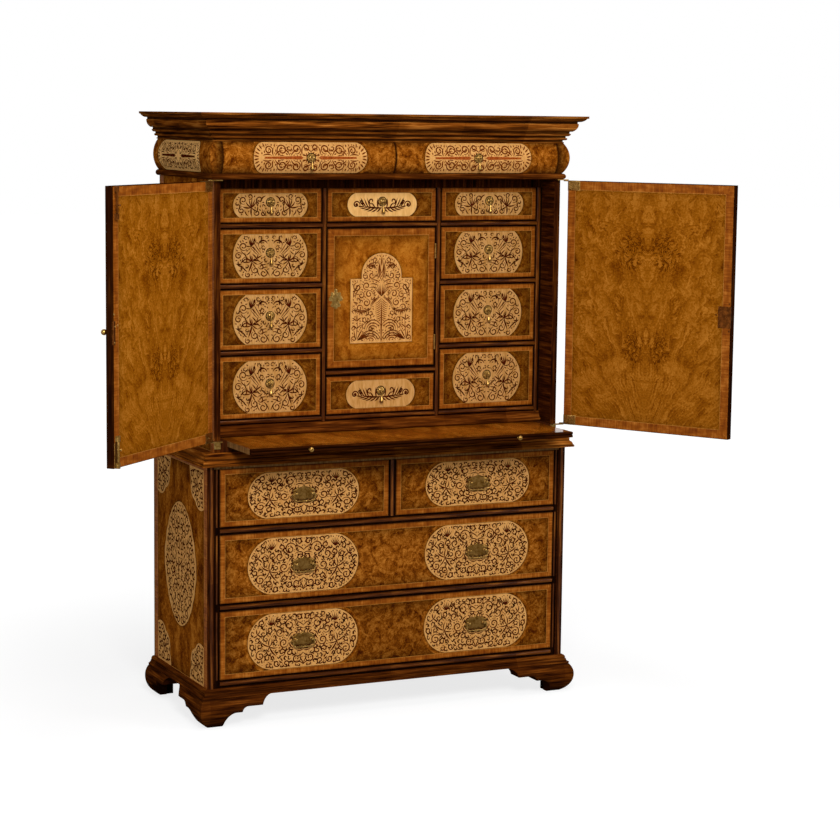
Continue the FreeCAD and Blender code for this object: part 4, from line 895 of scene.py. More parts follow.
# Each drawer has panels on one side or both, and its polish is more or less clear.
chest_drawers = {"short_drawer_left": ((-1,), 0.84), "short_drawer_right": ((1,), 0.88),
                 "long_drawer_upper": ((-1, 1), 0.97), "long_drawer_lower": ((-1, 1), 0.74)}
for number, (name, (sides, clear)) in enumerate(chest_drawers.items()):
    piece, _, level, half = veneered_drawer(name, *CHEST_DRAWER, drawer_burr, clear)
    tall = half - PANEL_MARGIN
    panel = (CHEST_PANEL_HALF, tall, tall * 1.05, tall * 1.02)
    stretch = (1, tall / CHEST_DRAWN_HALF)
    drawn = [drawn_leaves(chest_leaves, stretch, 1.2), drawn_coils(chest_coils, CHEST_STROKE, stretch)]
    strips = seaweed(round_ended_room(*panel, 2.6 * MM), ((0, -tall), (CHEST_PANEL_HALF, tall)),
                     11 + max(number - 1, 0), CHEST_COILS, CHEST_STROKE, 0.4 * MM, drawn, 1.3,
                     slips=(4.2, 3.3, 2.6, 2.0))
    limit = np.array([(-2, -half), (2, half)])
    for side in sides:
        lay = front_lay(side * HANDLE_OFFSET, CHEST_FACE, level)
        lay_panel(piece, round_ended(*panel), lay, boxwood, drawer_burr, limit, (side * HANDLE_OFFSET, level))
        lay_strips(piece, strips, lay, scroll_wood)
    piece.build(name, "marquetry", [name])

# %% [markdown]
# ## The fitted interior
# Small drawers stand on each side of a cupboard. Their panels are circles cut off by the bands, with
# thinner and more open scrolls. The two middle drawers have a plain long panel with a pair of leafy
# branches that end in curled buds.

# %% Interior drawers
NEST_DRAWER = mm(85, 14, 8, 13)
NEST_FACE = NEST_DRAWER[0]
NEST_PANEL_HALF, NEST_END, CENTRE_PANEL_HALF = mm(109, 80, 106)
LOW_PANEL, NEST_DRAWN_HALF = mm(45, 66)
PULL_RISE, PULL_ROOM = mm(8.5, 18)
NEST_COILS = mm(9, 7, 5.5)

nest_names = ["%s_drawer_%d" % (side, row) for row in (1, 2, 3, 4) for side in ("left", "right")]
centre_names = ["centre_drawer_top", "centre_drawer_bottom"]
for number, name in enumerate(nest_names + centre_names):
    piece, *middle, half = veneered_drawer(name, *NEST_DRAWER, nest_burr)
    tall = half - 0.6 * MM
    if name in centre_names:
        panel = (CENTRE_PANEL_HALF, tall, tall * 1.1, tall * 1.06)
        strips = [strip(*lines) for lines in (
            drawn_leaves(branch_stem), drawn_leaves(branch_leaves, weight=1.5),
            drawn_coils(branch_coils, 2.2 * MM), drawn_leaves(branch_bud))]
    else:
        end = NEST_END if tall > LOW_PANEL else tall * 1.15
        panel = (NEST_PANEL_HALF, tall, end, end)
        inner = round_ended_room(*panel, 3.5 * MM)

        def room(points, inner=inner):
            """Room inside the panel and outside the ring round the pull."""
            away = np.hypot(points[..., 0], points[..., 1] - PULL_RISE) - PULL_ROOM
            return np.minimum(inner(points), away)
        stretch = (1, tall / NEST_DRAWN_HALF)
        drawn = [drawn_leaves(nest_leaves, stretch, 1.5), drawn_coils(nest_coils, 1.8 * MM, stretch)]
        if tall < LOW_PANEL:
            drawn = [drawn_leaves(low_leaves, weight=1.5), drawn_coils(low_coils, 1.8 * MM)]
        strips = seaweed(room, ((0, -tall), (NEST_PANEL_HALF, tall)), 21 + number // 2, NEST_COILS, 1.6 * MM,
                         1.6 * MM, drawn, 1.25, slips=(3.4,))
    ground = light_boxwood if name == "centre_drawer_top" else nest_boxwood
    lay = front_lay(middle[0], NEST_FACE, middle[1])
    limit = np.array([(-1, -half), (1, half)])
    lay_panel(piece, round_ended(*panel), lay, ground, nest_burr, limit, middle)
    lay_strips(piece, strips, lay, scroll_wood)
    piece.build(name, "marquetry", [name])

# %% [markdown]
# ## The cupboard door
# Its panel is a round arch on a wider block, with a tree of scrolls on a straight stem. The crossband is
# wider than on the drawers, and the burr is calm.

# %% Cupboard door
CUPBOARD_THICK, CUPBOARD_BAND = mm(16, 20)
ARCH_HALF, BLOCK_HALF, SHOULDER, SPRING = mm(61, 95, 180, 190)
PANEL_FOOT = 1034 * MM
CUPBOARD_COILS = mm(9, 7, 5.5)


def arch_edge(steps=28):
    """Edge of the arched panel from its lower right corner: block, shoulder, arch and back."""
    angle = np.linspace(0, np.pi, steps)
    arch = joined(ARCH_HALF * np.cos(angle), SPRING + ARCH_HALF * np.sin(angle))
    right = [(BLOCK_HALF, 0), (BLOCK_HALF, SHOULDER), (ARCH_HALF, SHOULDER)]
    left = [(-ARCH_HALF, SHOULDER), (-BLOCK_HALF, SHOULDER), (-BLOCK_HALF, 0), (BLOCK_HALF, 0)]
    return np.concatenate([right, arch, left])


def arch_room(points):
    """Room inside the arched panel: the larger of the room in its block and in its arch."""
    x, z = np.abs(points[..., 0]), points[..., 1]
    block = np.minimum(np.minimum(BLOCK_HALF - x, z), SHOULDER - z)
    dome = np.where(z > SPRING, ARCH_HALF - np.hypot(x, z - SPRING), ARCH_HALF - x)
    return np.maximum(block, np.minimum(dome, z)) - 3 * MM


x, y, z = spans("cupboard_door")
piece = Piece("cupboard_door_dressed")
banded_face(piece, x, z, NEST_FACE, NEST_FACE + CUPBOARD_THICK, CUPBOARD_BAND, cupboard_walnut)
flat_face(piece, x[::-1], z, y[1], cupboard_walnut)
lay = front_lay(0.0, NEST_FACE, PANEL_FOOT)
lay_panel(piece, arch_edge(), lay, boxwood, cupboard_walnut, NO_LIMIT, (0, PANEL_FOOT))
drawn = [drawn_leaves(tree_leaves, weight=1.45), drawn_coils(tree_coils, 1.8 * MM)]
window = ((0, 0), (BLOCK_HALF, SPRING + ARCH_HALF))
strips = seaweed(arch_room, window, 41, CUPBOARD_COILS, 1.5 * MM, 1.2 * MM, drawn, 1.2, slips=(3.4, 2.6))
lay_strips(piece, strips, lay, red_scroll)
piece.build("cupboard", "marquetry", ["cupboard_door"])

# %% [markdown]
# ## The frieze drawers
# The frieze bulges like a cushion, and its drawers are hidden in it. One arc gives the bulge: the depth of
# the face depends only on the height. The long panel follows it, with a feathered reddish spine along its
# middle and scrolls mirrored both ways.

# %% Frieze drawers
FRIEZE_BACK, FRIEZE_WALL, CABINET_FRONT = mm(34, 12, 14)
CUSHION_FOOT, CUSHION_HEAD, CUSHION_BULGE = mm(3, 5, 19)
FRIEZE_PANEL_HALF, FRIEZE_END = mm(166, 32)
FRIEZE_COILS = mm(10, 7.5, 5.5)


def cushion_arc(z_low, z_high, steps=24):
    """The bulge from foot to head, as (out, level): one arc through the middle."""
    crown = (CUSHION_BULGE, (z_low + z_high) / 2)
    return outline((CUSHION_FOOT, z_low), (crown, (CUSHION_HEAD, z_high)), steps=steps)


def cushion_out(levels, z_low, z_high):
    """How far the cushion stands out at given levels."""
    arc = cushion_arc(z_low, z_high, 60)
    return np.interp(levels, arc[:, 1], arc[:, 0])


def cushion_shade(arc):
    """Painted shade on a cushion: dark along its foot and head, where it meets the mouldings."""
    share = run_length(arc) / run_length(arc)[-1]
    return np.interp(share, [0, 0.1, 0.3, 0.8, 0.92, 1], [0.3, 0.6, 1, 1, 0.65, 0.35])


frieze_z = spans("frieze_drawer_left")[2]
frieze_arc = cushion_arc(*frieze_z)
panel_half = (frieze_z[1] - frieze_z[0]) / 2 - 1.0 * MM
frieze_panel = (FRIEZE_PANEL_HALF, panel_half, FRIEZE_END, panel_half)
frieze_edge = round_ended(*frieze_panel, 40)
frieze_inner = round_ended_room(*frieze_panel, 2.6 * MM)
frieze_limit = np.array([(-1, -panel_half), (1, panel_half)])


def frieze_room(points):
    """Room in the upper half of the panel, clear of the spine and of the pull."""
    away = np.hypot(points[..., 0], points[..., 1]) - 12 * MM
    return np.minimum(np.minimum(frieze_inner(points), points[..., 1] - 4 * MM), away)


drawn = [drawn_leaves(frieze_leaves, weight=1.6), drawn_coils(frieze_coils, 2.1 * MM)]
frieze_strips = seaweed(frieze_room, ((0, 0), (FRIEZE_PANEL_HALF, panel_half)), 31, FRIEZE_COILS, 1.9 * MM,
                        0.9 * MM, drawn, 1.25, slips=(4, 3, 2.2))
spine_strips = [strip(*drawn_leaves(frieze_spine))]


def lay_frieze(piece, lay, ground, scrolls, spine, middle):
    """The long panel of a cushion with its scrolls and its spine, mirrored both ways."""
    lay_panel(piece, frieze_edge, lay, ground, drawer_burr, frieze_limit, middle, rings=16)
    lay_strips(piece, frieze_strips, lay, scrolls, flips=(1, -1))
    lay_strips(piece, spine_strips, lay, spine, flips=(1, -1))


for name in ("frieze_drawer_left", "frieze_drawer_right"):
    x, y, _ = spans(name)
    centre = sum(x) / 2
    piece = Piece(name + "_dressed")
    columns = np.array([0, 5 * MM, x[1] - x[0] - 5 * MM, x[1] - x[0]]) + x[0]
    face = joined(columns[:, None], CABINET_FRONT - frieze_arc[:, 0], frieze_arc[:, 1])
    # The end columns fall to black: painted shade in the gaps at the drawer's ends.
    shade = cushion_shade(frieze_arc) * np.array([0.0, 1, 1, 0.0])[:, None]
    piece.add(face, drawer_burr, joined(face[..., 0], run_length(frieze_arc)), shade=shade)
    behind = face * [1, 0, 1] + [0, FRIEZE_BACK, 0]
    for end, flip in ((0, True), (-1, False)):
        cap = np.stack([face[end], behind[end]])
        piece.add(cap, bead_walnut, cap[..., [1, 2]], flip=flip)
        lid = np.stack([face[:, end], behind[:, end]], 1)
        piece.add(lid, bead_walnut, lid[..., [0, 1]], flip=flip)
    inner = (x[0] + 3 * MM, x[1]) if centre > 0 else (x[0], x[1] - 3 * MM)
    oak_box(piece, inner, frieze_z, FRIEZE_BACK, y[1], FRIEZE_WALL)

    def lay(flat, lift, centre=centre):
        """The cushion's face: across runs to the right, up runs up, and the depth follows the bulge."""
        levels = sum(frieze_z) / 2 + flat[..., 1]
        out = cushion_out(levels, *frieze_z) + lift
        return joined(centre + flat[..., 0], CABINET_FRONT - out, levels)
    lay_frieze(piece, lay, boxwood, red_scroll, spine_wood, (centre, panel_half))
    piece.build(name, "marquetry", [name])

# %% [markdown]
# ## Runs, beads, turned and bent shapes
# Mouldings are one profile carried round three sides and mitred at the front corners. The rails between the
# drawers carry half-round beads. Knobs and drops are turned: a profile spun about an axis. Bails are a rod
# bent along a path. Each helper lays out one grid and its UV map, with U along the run.

# %% Shape helpers
HOLLOW_STEP = 0.4 * MM


def hollow_shade(profile, reach=6 * MM, depth=1.1 * MM):
    """Painted shade, with old polish, in a profile's hollows: dark where it lies behind its own running mean,
    clear where it stands proud.
    """
    run = run_length(profile)
    even = np.arange(-2 * reach, run[-1] + 2 * reach, HOLLOW_STEP)
    window = np.ones(int(reach / HOLLOW_STEP))
    window /= len(window)
    smooth = [np.convolve(np.interp(even, run, axis), window, "same") for axis in profile.T]
    mean = joined(*[np.interp(run, even, axis) for axis in smooth])
    ahead = np.gradient(profile, axis=0)
    outward = joined(ahead[:, 1], -ahead[:, 0]) / (np.linalg.norm(ahead, axis=1)[:, None] + 1e-12)
    proud = np.sum((profile - mean) * outward, 1)
    return np.clip(0.66 + proud / depth, 0.05, 1.0)


def refined(profile, step=1.2 * MM):
    """The same open line with points at least every step, so that shade can change along it."""
    run = run_length(profile)
    more = np.unique(np.concatenate([run, np.arange(0, run[-1], step)]).round(7))
    return joined(*[np.interp(more, run, axis) for axis in profile.T])


def mitred_run(piece, profile, half, front, back, finish, tones=((0, 1), (1, 1))):
    """A profile of (out, level) round the front and both sides; tones are (level, clear share): painted light
    and shade by level.
    """
    profile = refined(np.asarray(profile, float))
    shade = np.interp(profile[:, 1], *np.transpose(tones)) * hollow_shade(profile)
    out, level = profile.T
    across = run_length(profile)
    face = joined(np.array([[-1], [1]]) * (half + out), front - out, level)
    piece.add(face, finish, joined(face[..., 0], across), shade=shade)
    side = joined(half + out, np.stack([front - out, np.full_like(out, back)]), level)
    end = np.stack([side[1], side[1] * [0, 1, 1] + [half, 0, 0]])
    inside = np.array([[[half, y, level[0]], [half, y, level[-1]]] for y in (front, back)])
    for sign in (1, -1):
        piece.put(mirror(sign))
        piece.add(side, finish, joined(side[..., 1], across), shade=shade)
        piece.add(end, finish)
        piece.add(inside, finish, inside[..., [1, 2]], flip=True)
    piece.put()


def straight_run(piece, half, profile, finish, shade=1.0):
    """A profile of (depth, level) carried straight across the front; its grid is handed back."""
    run = joined(np.array([[-half], [half]]), *profile.T)
    piece.add(run, finish, joined(run[..., 0], run_length(profile)), shade=shade)
    return run


def bead(piece, along, low, high, at, face, radius, steps=10):
    """A half-round bead on a face that looks forward, along x at a level or along z at an x."""
    angle = np.linspace(0, np.pi, steps + 1)
    run = np.array([[low], [high]])
    across, depth = at - radius * np.cos(angle), face - radius * np.sin(angle)
    points = joined(run, depth, across) if along == "x" else joined(across, depth, run)
    # Painted shade on the bead's flanks; its crown keeps full colour.
    shade = np.clip(1.5 * np.sin(angle) - 0.35, 0.05, 1)
    piece.add(points, polished_bead, joined(run, radius * angle), flip=along == "z", shade=shade)


def turned(piece, profile, place, axis, finish, steps=20):
    """A profile of (radius, distance along the axis) spun about an axis from a place."""
    profile, axis = np.asarray(profile, float), np.asarray(axis, float)
    first = np.cross(axis, (0.31, 0.77, 0.55))
    first /= np.linalg.norm(first)
    angle = np.linspace(0, 2 * np.pi, steps + 1)[:, None, None]
    spoke = np.cos(angle) * first + np.sin(angle) * np.cross(axis, first)
    piece.add(np.asarray(place) + profile[:, 1:] * axis + profile[:, :1] * spoke, finish)


def rod(piece, path, radius, normal, finish, steps=12):
    """A round rod of given radii along a flat path; the normal is square to the path's plane."""
    step = np.gradient(path, axis=0)
    step /= np.linalg.norm(step, axis=1, keepdims=True)
    radius = np.concatenate([[0], np.broadcast_to(radius, len(path)), [0]])
    path, step = (np.concatenate([line[:1], line, line[-1:]]) for line in (path, step))
    angle = np.linspace(0, 2 * np.pi, steps + 1)[:, None, None]
    spoke = np.cos(angle) * np.asarray(normal, float) + np.sin(angle) * np.cross(step, normal)
    piece.add(path + radius[:, None] * spoke, finish)


def domed_plate(piece, edge, rings, lay, finish):
    """A plate inside an edge: a ring is (share of the edge, height), from the rim to the middle."""
    height = joined(*[np.broadcast_to(ring[1], len(edge)) for ring in rings])
    fan = edge[:, None] * np.array([ring[0] for ring in rings])[None, :, None]
    piece.add(lay(fan, height), finish, fan)


print("shape helpers ready")

# %% [markdown]
# ## Mouldings and frieze
# From the top: the cornice, the cushion frieze with its small moulding below, the waist moulding that holds
# the upper case in place, and the base moulding over the feet. Each profile is a line of small fillets,
# hollows and rounds, given as (out, level) in millimetres.

# %% Mouldings
CHEST_HALF, CHEST_BACK = mm(550, 440)
CABINET_HALF, CABINET_INNER, CABINET_BACK, CORNICE_BACK = mm(525, 507, 455, 463)
TOP_SPAN, WAIST_SPAN, FRIEZE_SPAN = mm((1654, 1669.9), (734, 757), (1508, 1594))
SIDE_PANEL_MIDDLE = 245 * MM

cornice_profile = MM * outline(
    (0, 1594), (6, 1594), (6, 1597), (3.5, 1597.4), (3.5, 1602), (9.5, 1602.4), ((13, 1605.6), (12, 1608.6)),
    (9.5, 1609), (9.5, 1613.4), (15, 1613.8), ((19.6, 1617.4), (20.4, 1620.6)), (17.5, 1621), (17.5, 1626.4),
    (24, 1626.8), ((33.6, 1636), (36.5, 1648.6)), (34, 1649), (34, 1654), (41, 1654.4),
    ((49, 1658), (54, 1663.4)), (58, 1664), (58, 1670), (0, 1670), steps=6)
# Painted light and shade by level: the large ovolo that faces the lamps keeps full colour, and the fillets,
# coves and bands that face down or lie in hollows are darkened.
cornice_light_and_shade = [MM, 1] * np.array([
    (1594, 0.5), (1602, 0.5), (1606, 0.75), (1610, 0.4), (1617, 0.75), (1622, 0.35), (1628, 0.6),
    (1637, 1.25), (1645, 1.25), (1650, 0.35), (1654, 0.4), (1659, 0.8), (1664, 0.6)])
piece = Piece("cornice_dressed")
mitred_run(piece, cornice_profile, CABINET_HALF, CABINET_FRONT, CORNICE_BACK, moulding_walnut, cornice_light_and_shade)
board(piece, ((-CABINET_HALF, CABINET_HALF), (CABINET_FRONT, CORNICE_BACK), TOP_SPAN), top_oak)
piece.build("carcass", "walnut", ["cornice"])

waist_profile = MM * outline(
    (0, 723), (20, 723), (20, 729), (17.2, 729), ((14.4, 737), (9.2, 741)), (9.2, 744),
    ((7.8, 752.2), (2, 757)), (0, 757))
piece = Piece("waist_moulding_dressed")
mitred_run(piece, waist_profile, CHEST_HALF, 0, CHEST_BACK, moulding_walnut)
board(piece, ((-CHEST_HALF, CHEST_HALF), (0, CABINET_FRONT), WAIST_SPAN), moulding_walnut)
for sign in (-1, 1):
    ledge = (sign * CABINET_HALF, sign * CHEST_HALF)
    board(piece, (ledge, (CABINET_FRONT, CHEST_BACK), WAIST_SPAN), moulding_walnut)
piece.build("carcass", "walnut", ["waist_moulding"])

base_profile = MM * outline(
    (0, 84), (18, 84), (18, 88), ((12.9, 91.2), (11.1, 96.8)), (9, 96.8), ((7.8, 104.8), (3, 108)), (0, 108))
piece = Piece("base_moulding_dressed")
mitred_run(piece, base_profile, CHEST_HALF, 0, CHEST_BACK, shaded_moulding_walnut)
piece.build("carcass", "walnut", ["base_moulding"])

# %% Frieze of the case
small_profile = MM * outline((0, 1492), (6, 1492), ((12, 1500), (6, 1508)), (0, 1508))
piece = Piece("frieze_dressed")
mitred_run(piece, small_profile, CABINET_HALF, CABINET_FRONT, CABINET_BACK, shaded_moulding_walnut)
side_arc = cushion_arc(*FRIEZE_SPAN)
side_arc = np.concatenate([[(0, FRIEZE_SPAN[0])], side_arc, [(0, FRIEZE_SPAN[1])]])
side_shade, side_length = cushion_shade(side_arc), run_length(side_arc)
out, level = side_arc.T
ends = np.stack([np.full_like(out, CABINET_INNER), CABINET_HALF + out])
corner = joined(ends, CABINET_FRONT - out, level)
gap_end = np.stack([corner[0] * [1, 0, 1] + [0, CABINET_FRONT, 0], corner[0]])
ends = np.stack([CABINET_FRONT - out, np.full_like(out, CABINET_BACK)])
side_run = joined(CABINET_HALF + out, ends, level)
back_end = np.stack([side_run[1], side_run[1] * [0, 1, 1] + [CABINET_HALF, 0, 0]])


def side_frieze_lay(flat, lift):
    """The cushion of the right-hand side: across runs to the back."""
    levels = sum(FRIEZE_SPAN) / 2 + flat[..., 1]
    stand_out = cushion_out(levels, *FRIEZE_SPAN) + lift
    return joined(CABINET_HALF + stand_out, SIDE_PANEL_MIDDLE + flat[..., 0], levels)


for sign in (1, -1):
    piece.put(mirror(sign))
    # The corner is darker next to the gap at the cabinet's inner edge: painted shade.
    corner_shade = side_shade * np.array([[0.1], [0.9]])
    piece.add(corner, drawer_burr, joined(corner[..., 0], side_length), shade=corner_shade)
    piece.add(side_run, drawer_burr, joined(side_run[..., 1], side_length), shade=side_shade)
    piece.add(gap_end, bead_walnut, gap_end[..., [1, 2]])
    piece.add(back_end, bead_walnut)
    lay_frieze(piece, side_frieze_lay, light_boxwood, scroll_wood, scroll_wood, (0.0, 0.0))
piece.build("carcass", "walnut", ["frieze_mouldings"])

# %% [markdown]
# ## Bracket feet
# The feet are ogee brackets: seen from the side the face swells out and draws in again, and seen from the
# front the bracket is sawn to a stepped curve. So the face is a grid whose columns start on the sawn line
# and whose depth follows the ogee, and the last column lies on the mitre with the next bracket.

# %% Feet
FOOT_HEIGHT, FOOT_INNER = mm(84, 22)
BLOCK_NEAR, BLOCK_FAR, BLOCK_SIZE, BLOCK_PLACES = 507, 528, 21, (22, 400)
FOOT_ROWS = np.linspace(0, 1, 15)
# Painted shade on the brackets: dark along the sawn edge and under the base moulding, clear on the swell that
# faces the lamps.
FOOT_SHADES = np.interp(FOOT_ROWS, [0, 0.2, 0.6, 0.9, 1], [0.3, 0.55, 0.95, 0.6, 0.3])
ogee = MM * outline((-2, 0), ((17.4, 16.8), (29, 52.08)), ((24.94, 71.4), (16, 84)), steps=14)
sawn = MM * outline(
    (0, 0), (44.64, 0), ((50.22, 27.72), (72.54, 42)), (93, 42), ((98.58, 52.92), (111.6, 57.12)),
    (152.52, 57.12), ((161.82, 73.92), (186, 84)), steps=7)


def ogee_out(levels):
    """How far the bracket's face stands out at given levels."""
    return np.interp(levels, ogee[:, 1], ogee[:, 0])


def bracket(piece, mitred):
    """One bracket whose corner is at the right end: x runs to zero there, the face looks forward."""
    columns = sawn[::-1]
    level = columns[:, 1:] + (FOOT_HEIGHT - columns[:, 1:]) * FOOT_ROWS
    face = joined(-columns[:, :1], -ogee_out(level), level)
    if mitred:
        level_end = FOOT_HEIGHT * FOOT_ROWS
        corner = joined(ogee_out(level_end), -ogee_out(level_end), level_end)
        face = np.concatenate([face[:-1], corner[None]])
    piece.add(face, shaded_moulding_walnut, shade=FOOT_SHADES)
    under = face[:, 0]
    inner = under * [1, 0, 1] + [0, FOOT_INNER, 0]
    piece.add(np.stack([inner, under], 1), bead_walnut)
    back = np.stack([inner, inner * [1, 1, 0] + [0, 0, FOOT_HEIGHT]], 1)
    piece.add(back, bead_walnut, flip=True)
    if not mitred:
        end = np.stack([face[-1], face[-1] * [1, 0, 1] + [0, FOOT_INNER, 0]])
        piece.add(end, bead_walnut, end[..., [1, 2]])


def facing(across, outwards):
    """Turn for a shape drawn from the front: across is where its right goes, outwards where it looks."""
    return np.column_stack([across, -np.asarray(outwards), (0, 0, 1)])


piece = Piece("bracket_feet_dressed")
for sign in (-1, 1):
    outwards = (sign, 0, 0)
    for turn, y, mitred in ((facing(outwards, (0, -1, 0)), 0, True), (facing((0, -1, 0), outwards), 0, True),
                            (facing((0, 1, 0), outwards), CHEST_BACK, False)):
        piece.put(turn, (sign * CHEST_HALF, y, 0))
        bracket(piece, mitred)
piece.put()
# The blocks behind the brackets are near black: painted shadow.
for sign in (-1, 1):
    for y in BLOCK_PLACES:
        block_x, block_y = mm((sign * BLOCK_NEAR, sign * BLOCK_FAR), (y, y + BLOCK_SIZE))
        board(piece, (block_x, block_y, (0, FOOT_HEIGHT)), painted_shadow_walnut)
piece.build("carcass", "walnut", ["bracket_feet"])

# %% [markdown]
# ## Frames round the drawers
# Between the drawers the carcass shows narrow rails with half-round beads laid across the grain. They are
# darker than the drawers. The flats beside the beads are painted near black as shadow in the gaps, and the
# beads' flanks carry painted shade, while their tops catch a thin line of light. The chest has them between
# its rows, and the fitted interior has finer ones on its uprights and shelves.

# %% Chest frame
# Places in millimetres; rails and openings are spans of height.
FRAME_HALF, OPENING_HALF, POST_HALF, FRAME_FACE = 530, 514, 11, 3
FRAME_DEPTH = (FRAME_FACE, 40)
RAILS = ((84, 130), (320, 342), (532, 554))
OPENINGS = ((130, 320), (342, 532), (554, 714))
RAIL_BEADS, RAIL_BEAD, EDGE_BEAD_X, EDGE_BEAD = (119, 331, 543), 6.5, 522, 3

piece = Piece("chest_frame_dressed")
for rail in RAILS:
    board(piece, mm((-FRAME_HALF, FRAME_HALF), FRAME_DEPTH, rail), painted_shadow_walnut)
for level in RAIL_BEADS:
    bead(piece, "x", *mm(-OPENING_HALF, OPENING_HALF, level, FRAME_FACE, RAIL_BEAD))
for opening in OPENINGS:
    for sign in (-1, 1):
        board(piece, mm((sign * OPENING_HALF, sign * FRAME_HALF), FRAME_DEPTH, opening), painted_shadow_walnut)
        bead(piece, "z", *mm(*opening, sign * EDGE_BEAD_X, FRAME_FACE, EDGE_BEAD))
board(piece, mm((-POST_HALF, POST_HALF), FRAME_DEPTH, OPENINGS[-1]), painted_shadow_walnut)
bead(piece, "z", *mm(*OPENINGS[-1], 0, FRAME_FACE, RAIL_BEAD))
piece.build("carcass", "walnut", ["chest_frame"])

# %% Nest frame
NEST_FRAME_FACE, NEST_FOOT, NEST_BEAD_FOOT, NEST_HEAD, NEST_TOP = 88, 801, 818.5, 1466.5, 1491.9
INNER_POST, OUTER_POST, POST_BEADS = (166, 184), (486, 507), (175, 495)
SIDE_SHELVES, SHELF_HALF = (827.5, 1017.5, 1199.5, 1364.5), 9
CENTRE_SHELVES, CENTRE_HALF = ((827.5, 9), (953.5, 11), (1364.5, 9)), INNER_POST[0]
NEST_BEAD, BEAD_LAP, HEAD_STRIP = 6, 3, (87, 87.9)

piece = Piece("nest_frame_dressed")
nest_depth = (NEST_FRAME_FACE * MM, spans("nest_frame")[1][1])
for sign in (-1, 1):
    for near, far in (OUTER_POST, INNER_POST):
        board(piece, (mm(sign * near, sign * far), nest_depth, mm(NEST_FOOT, NEST_HEAD)), painted_shadow_walnut)
    for x in POST_BEADS:
        bead(piece, "z", *mm(NEST_BEAD_FOOT, NEST_HEAD, sign * x, NEST_FRAME_FACE, NEST_BEAD))
for level in SIDE_SHELVES:
    for sign in (-1, 1):
        shelf_x = mm(sign * INNER_POST[1], sign * OUTER_POST[0])
        board(piece, (shelf_x, nest_depth, mm(level - SHELF_HALF, level + SHELF_HALF)), painted_shadow_walnut)
        bead_x = mm(sign * (INNER_POST[1] - BEAD_LAP), sign * (OUTER_POST[0] + BEAD_LAP))
        bead(piece, "x", *sorted(bead_x), *mm(level, NEST_FRAME_FACE, NEST_BEAD))
for level, thick in CENTRE_SHELVES:
    board(piece, (mm(-CENTRE_HALF, CENTRE_HALF), nest_depth, mm(level - thick, level + thick)), painted_shadow_walnut)
    bead_half = CENTRE_HALF + BEAD_LAP
    bead(piece, "x", *mm(-bead_half, bead_half, level, NEST_FRAME_FACE, NEST_BEAD))
board(piece, ((-CABINET_INNER, CABINET_INNER), mm(*HEAD_STRIP), mm(NEST_HEAD, NEST_TOP)), bead_walnut)
piece.build("carcass", "walnut", ["nest_frame"])

nest_base = MM * outline((88, 801), (85, 801), (85, 789), (79, 789), ((73, 795), (79, 801)),
                         ((82.6, 808), (85.9, 818.5)), (88, 818.5))
piece = Piece("nest_base_moulding_dressed")
straight_run(piece, CABINET_INNER, nest_base, shaded_moulding_walnut)
piece.build("carcass", "walnut", ["nest_base_moulding"])

# %% [markdown]
# ## Sides of both cases
# The chest's sides carry a crossband, a long pointed oval of the finest scrolls, and a lobed panel in each
# corner. The edge next to the drawers ends in a bead. The cabinet's sides, which the open doors hide, are
# given the same band and burr.

# %% Case sides
SIDE_BAND = 26 * MM
OVAL_HALF, OVAL_HIGH, OVAL_RISE = mm(129, 176, 9)
CORNER_WIDE, CORNER_HIGH = mm(112, 116)
CORNER_POWER = 2.6
SCALLOP = 0.035


def oval_half(share):
    """Half width of the long oval at a share of its half height: an ellipse drawn out to slight points."""
    return OVAL_HALF * (0.85 * np.sqrt(np.clip(1 - share ** 2, 0, 1)) + 0.15 * (1 - np.abs(share)))


def oval_edge(steps=120):
    """Edge of the long oval with small scallops, from the right and round."""
    angle = np.linspace(0, 2 * np.pi, steps + 1)
    share = np.sin(angle)
    wave = 1 + SCALLOP * np.abs(np.sin(11 * angle))
    return joined(np.sign(np.cos(angle)) * oval_half(share) * wave, OVAL_HIGH * share)


def oval_room(points):
    """Room to the long oval's edge: sideways room, lessened by the slope of the flank."""
    x, z = points.T
    sideways = 0.72 * (oval_half(np.clip(z / OVAL_HIGH, -1, 1)) - np.abs(x))
    return np.minimum(sideways, OVAL_HIGH - np.abs(z)) - 4 * MM


def corner_reach(angle):
    """Reach of the corner panel in a direction: a squarish quarter with scallops."""
    square = (np.abs(np.cos(angle) / CORNER_WIDE) ** CORNER_POWER
              + np.abs(np.sin(angle) / CORNER_HIGH) ** CORNER_POWER) ** (-1 / CORNER_POWER)
    return square * (0.93 + 0.07 * np.abs(np.cos(5 * angle)))


def corner_edge(steps=50):
    """Edge of the corner panel: two straight edges along the bands, and the scalloped one."""
    angle = np.linspace(0, np.pi / 2, steps)
    lobes = corner_reach(angle)[:, None] * around(angle)
    return np.concatenate([[[0.0, 0.0]], lobes, [[0.0, 0.0]]])


def corner_room(points):
    """Room in the corner panel: to both straight edges and to the scalloped one."""
    x, z = points.T
    radial = corner_reach(np.arctan2(z, x)) - np.hypot(x, z)
    return np.minimum(np.minimum(x, z), radial) - 4 * MM


# %% Laying the sides
SIDE_STROKE, SIDE_GAP = mm(2.5, 0.7)
SIDE_SLIPS = (4.6, 3.6, 2.8)
oval_strips = seaweed(oval_room, ((0, -OVAL_HIGH), (OVAL_HALF, OVAL_HIGH)), 101, mm(15, 11, 8, 6),
                      SIDE_STROKE, SIDE_GAP, [drawn_leaves(oval_leaves, weight=1.6)], slips=SIDE_SLIPS)
corner_strips = seaweed(corner_room, ((0, 0), (CORNER_WIDE, CORNER_HIGH)), 103, mm(13, 10, 7, 5.5),
                        SIDE_STROKE, SIDE_GAP, slips=SIDE_SLIPS)


